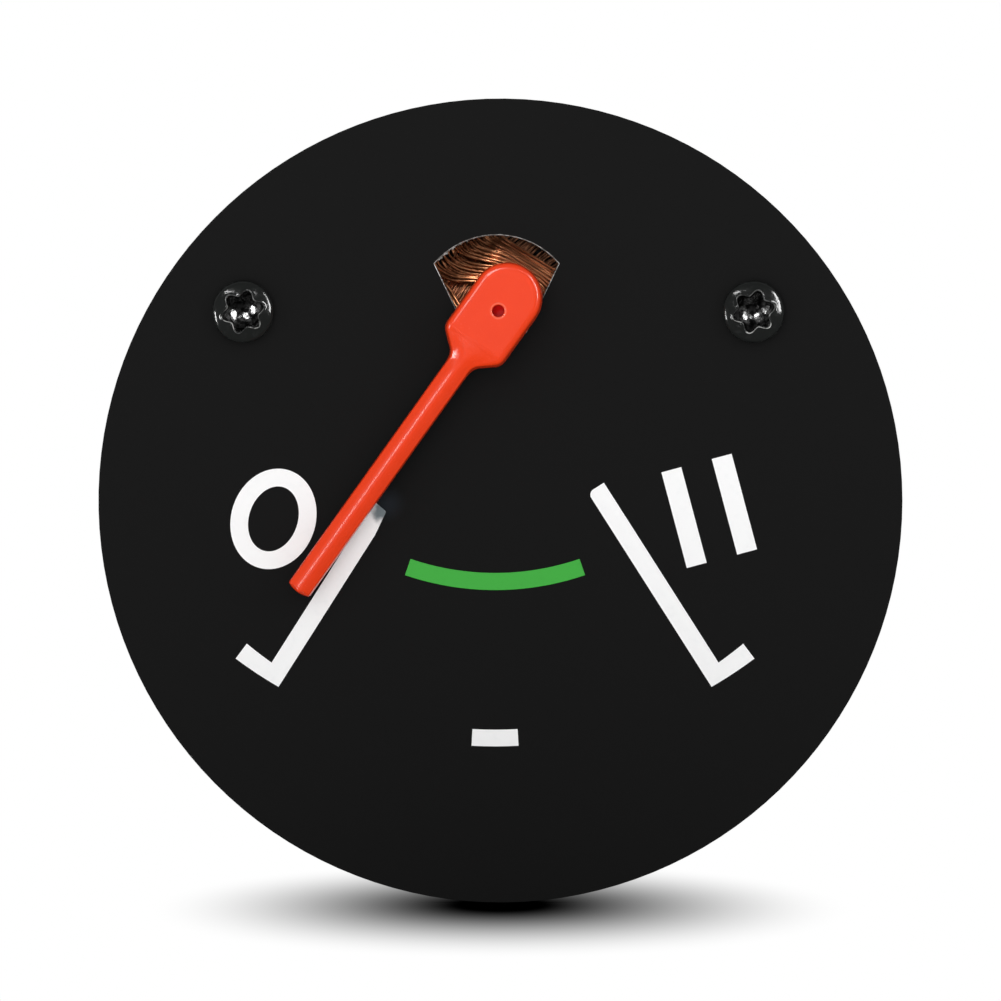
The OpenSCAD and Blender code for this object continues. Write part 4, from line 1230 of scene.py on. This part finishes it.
screw_loops += [ring_points([r] * screw_steps, y) for r, y in (
    (head_r, seat_y), (screw_shank_r, seat_y),
    (screw_shank_r, screw_high.y - screw_point),
    (screw_shank_r - screw_point, screw_high.y))]
bm = bmesh.new()
joined_loops(bm, screw_loops, closed=False, capped=True)
faces_a_screw = len(bm.faces)
dial_screws = circle_of.grown(plain_mesh("dome_screws", outward(bm)), count=2,
                              circle=screw_circle, first_angle=0.0, material=oxide_material)
dial_screws.data.materials.clear()
screw_finishes = [oxide_material, lip_wear_and_glint_material, recess_material]
for finish in screw_finishes:
    dial_screws.data.materials.append(finish)
for face in dial_screws.data.polygons:
    place = face.index % faces_a_screw
    finish = oxide_material
    if place in rim_faces:
        finish = lip_wear_and_glint_material
    elif place in recess_faces:
        finish = recess_material
    face.material_index = screw_finishes.index(finish)
fitted(dial_screws, "movement", oxide_material, "screw_black", "dial_screws")

# Pointer: one moulding in opaque orange-red plastic, with a thick rounded hub over the
# arbor, shoulders that fall to the arm, and a straight arm whose front is a blunt ridge.
pointer_low, pointer_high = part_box("pointer")
pointer_turn = math.radians(234.5)
pointer_l = 22.22 * MM
pointer_aside = 0.05 * MM
hub_r = 2.19 * MM
tail_l = 3.24 * MM
shoulder_l = 2.35 * MM
shoulder_r = 0.8 * MM
neck_r = 1 * MM
shoulder_a = math.radians(50)
arm_r = 0.77 * MM
tip_corner = 0.17 * MM
tip_bulge = 0.12 * MM
tip_reach = 0.8 * MM
hub_top = pointer_low.y
hub_back = -25.6 * MM
arm_top = -27.35 * MM
arm_back = -25.95 * MM
step_back = 0.2 * MM
step_ahead = 0.4 * MM
hub_edge = 0.42 * MM
arm_edge = 0.16 * MM
tip_edge = 0.12 * MM
arm_ridge = 0.36 * MM
arm_lean = math.radians(31)
ridge_soft = 0.55
wall_draft = 0.1 * MM
arm_draft = 0.06 * MM
hole_r = 0.385 * MM
hole_edge = 0.1 * MM

# The bore is painted a deeper red as shade inside it, and its rim is painted pale as a glow
# where light comes through the thin edge. The slope from the hub to the arm is rippled, so
# that its gloss breaks up.
fluorescent = Finish("pointer_red")
red_light = (0.88, 0.052, 0.0075)
red_deep = (0.85, 0.045, 0.005)
# Painted shade in the bore, and a painted glow on the bore's rim.
bore_painted_shade_red = (0.55, 0.001, 0.0005)
rim_painted_glow = (0.92, 0.15, 0.08)
bore_reach = 0.42 * MM
bore_top = -27.8 * MM
rim_rise = (0.4 * MM, 0.44 * MM)
rim_fall = (0.5 * MM, 0.58 * MM)
crest_rise = (2 * MM, 2.6 * MM)
crest_fall = (4.2 * MM, 5 * MM)
red_cloud = fluorescent.noise(grain=1.2 * MM, detail=2)
red_speck = fluorescent.noise(grain=0.1 * MM, detail=2)
red_ripple = fluorescent.noise(grain=0.35 * MM, detail=2)
red_x = fluorescent.axis("X")
red_z = fluorescent.axis("Z")
off_axis = (red_x * red_x + red_z * red_z) ** 0.5
in_bore = (off_axis < bore_reach) * (fluorescent.axis("Y") > bore_top)
at_rim = (fluorescent.spread(off_axis, *rim_rise)
          * fluorescent.spread(off_axis, *rim_fall, 1.0, 0.0))
body_red = fluorescent.blend(
    at_rim * 0.7, fluorescent.blend(red_cloud, red_light, red_deep), rim_painted_glow)
along_pointer = red_x * math.cos(pointer_turn) + red_z * math.sin(pointer_turn)
at_crest = (fluorescent.spread(along_pointer, *crest_rise)
            * fluorescent.spread(along_pointer, *crest_fall, 1.0, 0.0))
red_relief = red_ripple * (0.15 + at_crest * 0.85) + red_speck * 0.07
red_material = fluorescent.surface({
    "Base Color": fluorescent.blend(in_bore, body_red, bore_painted_shade_red),
    "Roughness": 0.22 + red_speck * 0.08 + in_bore * 0.5,
    "Specular IOR Level": 0.26,
    "Normal": fluorescent.bump(red_relief, depth=0.022 * MM)})

shoulder_flat = ((hub_r - arm_r - (shoulder_r + neck_r) * (1 - math.cos(shoulder_a)))
                 / math.sin(shoulder_a))
neck_l = (shoulder_l + (shoulder_r + neck_r) * math.sin(shoulder_a)
          + shoulder_flat * math.cos(shoulder_a))
tail_centre = hub_r - tail_l


def steps_between(start, end, count):
    """count places from start towards end, without the end itself."""
    return [start + (end - start) * i / count for i in range(count)]


def on_bend(x, w, r, angle):
    """A point of the arc that leaves (x, w) along the pointer, turned by that angle."""
    return x + r * math.sin(angle), w - r * (1 - math.cos(angle))


flank = [on_bend(tail_centre, hub_r, hub_r, a) for a in steps_between(-math.pi / 2, 0, 28)]
flank += [(x, hub_r) for x in steps_between(tail_centre, shoulder_l, 10)]
flank += [on_bend(shoulder_l, hub_r, shoulder_r, a) for a in steps_between(0, shoulder_a, 8)]
shoulder_end = Vector(on_bend(shoulder_l, hub_r, shoulder_r, shoulder_a))
neck_start = Vector(on_bend(neck_l, arm_r, -neck_r, shoulder_a))
flank += [tuple(shoulder_end.lerp(neck_start, s)) for s in steps_between(0, 1, 4)]
flank += [on_bend(neck_l, arm_r, -neck_r, a) for a in steps_between(shoulder_a, 0, 8)]
corner_x = pointer_l - tip_bulge - tip_corner
flank += [(x, arm_r) for x in steps_between(neck_l, corner_x, 60)]
flank += [on_bend(corner_x, arm_r, tip_corner, a) for a in steps_between(0, math.pi / 2, 8)]
flank += [(pointer_l - tip_bulge * (w / (arm_r - tip_corner)) ** 2, w)
          for w in steps_between(arm_r - tip_corner, 0, 5)]
outline = flank + [(pointer_l, 0)] + [(x, -w) for x, w in reversed(flank[1:])]


def along_outline():
    """Each point of the outline, with the way that the outline runs there."""
    for i, (x, w) in enumerate(outline):
        before = outline[i - 1]
        after = outline[(i + 1) % len(outline)]
        yield x, w, Vector((after[0] - before[0], after[1] - before[1])).normalized()


def eased_share(x, start, end):
    """0 before start, 1 after end, and smooth between them."""
    s = min(1, max(0, (x - start) / (end - start)))
    return s * s * (3 - 2 * s)


slope_start = 2.8 * MM
slope_end = 4.5 * MM
slope_soft = 1.3 * MM


def down_slope(x):
    """0 on the hub's top, 1 on the arm, and straight between them with soft ends."""
    def ramp(past):
        return (past + math.sqrt(past ** 2 + slope_soft ** 2 / 4)) / 2
    return (ramp(x - slope_start) - ramp(x - slope_end)) / (slope_end - slope_start)


def pointer_loop(share):
    """A loop round the rounded edge, from the wall's top at share 0 to the top face at 1."""
    loop = []
    for x, w, along in along_outline():
        on_arm = down_slope(x)
        at_tip = eased_share(x, corner_x - tip_reach, corner_x)
        edge = hub_edge + (arm_edge - hub_edge) * on_arm + (tip_edge - arm_edge) * at_tip
        top = hub_top + (arm_top + arm_ridge - hub_top) * on_arm
        bend = (math.pi / 2 - arm_lean * on_arm) * share
        inset = edge * (1 - math.cos(bend))
        loop.append((x + along.y * inset, top + edge * (1 - math.sin(bend)),
                     w - along.x * inset))
    return loop


back_loop = []
for x, w, along in along_outline():
    share = eased_share(x, neck_l - step_back, neck_l + step_ahead)
    draft = wall_draft + (arm_draft - wall_draft) * share
    back_loop.append((x - along.y * draft, hub_back + (arm_back - hub_back) * share,
                      w + along.x * draft))

# The walls run from the back loop up round the edge. Across both faces lie strips, which
# rise to the ridge in front and are flat behind.
edge_steps = 7
bm = bmesh.new()
rows = joined_loops(
    bm, [back_loop] + [pointer_loop(step / edge_steps) for step in range(edge_steps + 1)],
    closed=False)
around = len(outline)
across_steps = 16
middle_index = len(flank)
ridge_reach = math.sqrt(1 + ridge_soft ** 2) - ridge_soft
for row, ridge in ((rows[-1], arm_ridge), (rows[0], 0)):
    strips = []
    for i in range(1, middle_index):
        left, right = row[i], row[around - i]
        on_arm = down_slope(left.co.x)
        strip = [left]
        for step in range(1, across_steps):
            s = step / across_steps
            place = left.co.lerp(right.co, s)
            fall = math.sqrt((2 * s - 1) ** 2 + ridge_soft ** 2) - ridge_soft
            place.y -= ridge * on_arm * (1 - fall / ridge_reach)
            strip.append(bm.verts.new(place))
        strips.append(strip + [right])
    for near, far in zip(strips, strips[1:]):
        for i in range(across_steps):
            bm.faces.new((near[i], near[i + 1], far[i + 1], far[i]))
    for end, strip in ((row[0], strips[0]), (row[middle_index], strips[-1])):
        for i in range(across_steps):
            bm.faces.new((end, strip[i], strip[i + 1]))
aside = Matrix.Translation((0, 0, -pointer_aside))
bm.transform(Matrix.Rotation(-pointer_turn, 4, "Y") @ aside)
pointer = plain_mesh("pointer_moulding", outward(bm))

boss_r = 1 * MM
boss_foot = pointer_high.y
boss_overlap = 0.2 * MM
bore_end = -26.6 * MM
hole_depth = 0.8 * MM
pocket_r = 0.9 * MM
pocket_back = 1.75 * MM
pocket_end = -26.8 * MM
past = 0.5 * MM
boss = bmesh.new()
turned(boss, [(hub_back - boss_overlap, boss_r), (boss_foot, boss_r)])
cutters = bmesh.new()
hole_rounding = [
    (hub_top + down * hole_edge, hole_r + out * hole_edge)
    for down, out in ((0, 1), (0.13, 0.5), (0.5, 0.13), (1, 0))]
turned(cutters, [(hub_top - past, hole_r + hole_edge), *hole_rounding,
                 (hub_top + hole_depth, hole_r)])
turned(cutters, [(boss_foot + past, hole_r), (bore_end, hole_r)])
pocket_at = (-pocket_back * math.cos(pointer_turn), -pocket_back * math.sin(pointer_turn))
turned(cutters, [(hub_back + past, pocket_r), (pocket_end, pocket_r)], pocket_at)
for operation, tool_mesh in (("UNION", boss), ("DIFFERENCE", cutters)):
    tool = plain_mesh("pointer_tool", outward(tool_mesh))
    cut = pointer.modifiers.new("cut", "BOOLEAN")
    cut.operation = operation
    cut.object = tool
    settled(pointer)
    bpy.data.objects.remove(tool)
pointer.data.shade_smooth()
pointer.data.set_sharp_from_angle(angle=math.radians(35))
fitted(pointer, "pointer_assembly", red_material, "pointer_red", "pointer")

# Counterweight: a short brass pin pressed into the hub's tail from behind, which brings
# the pointer into balance.
dressed("counterweight", "balance_pin", "pointer_assembly", brass_material, "brass",
        edge=0.08 * MM, rounds=2)
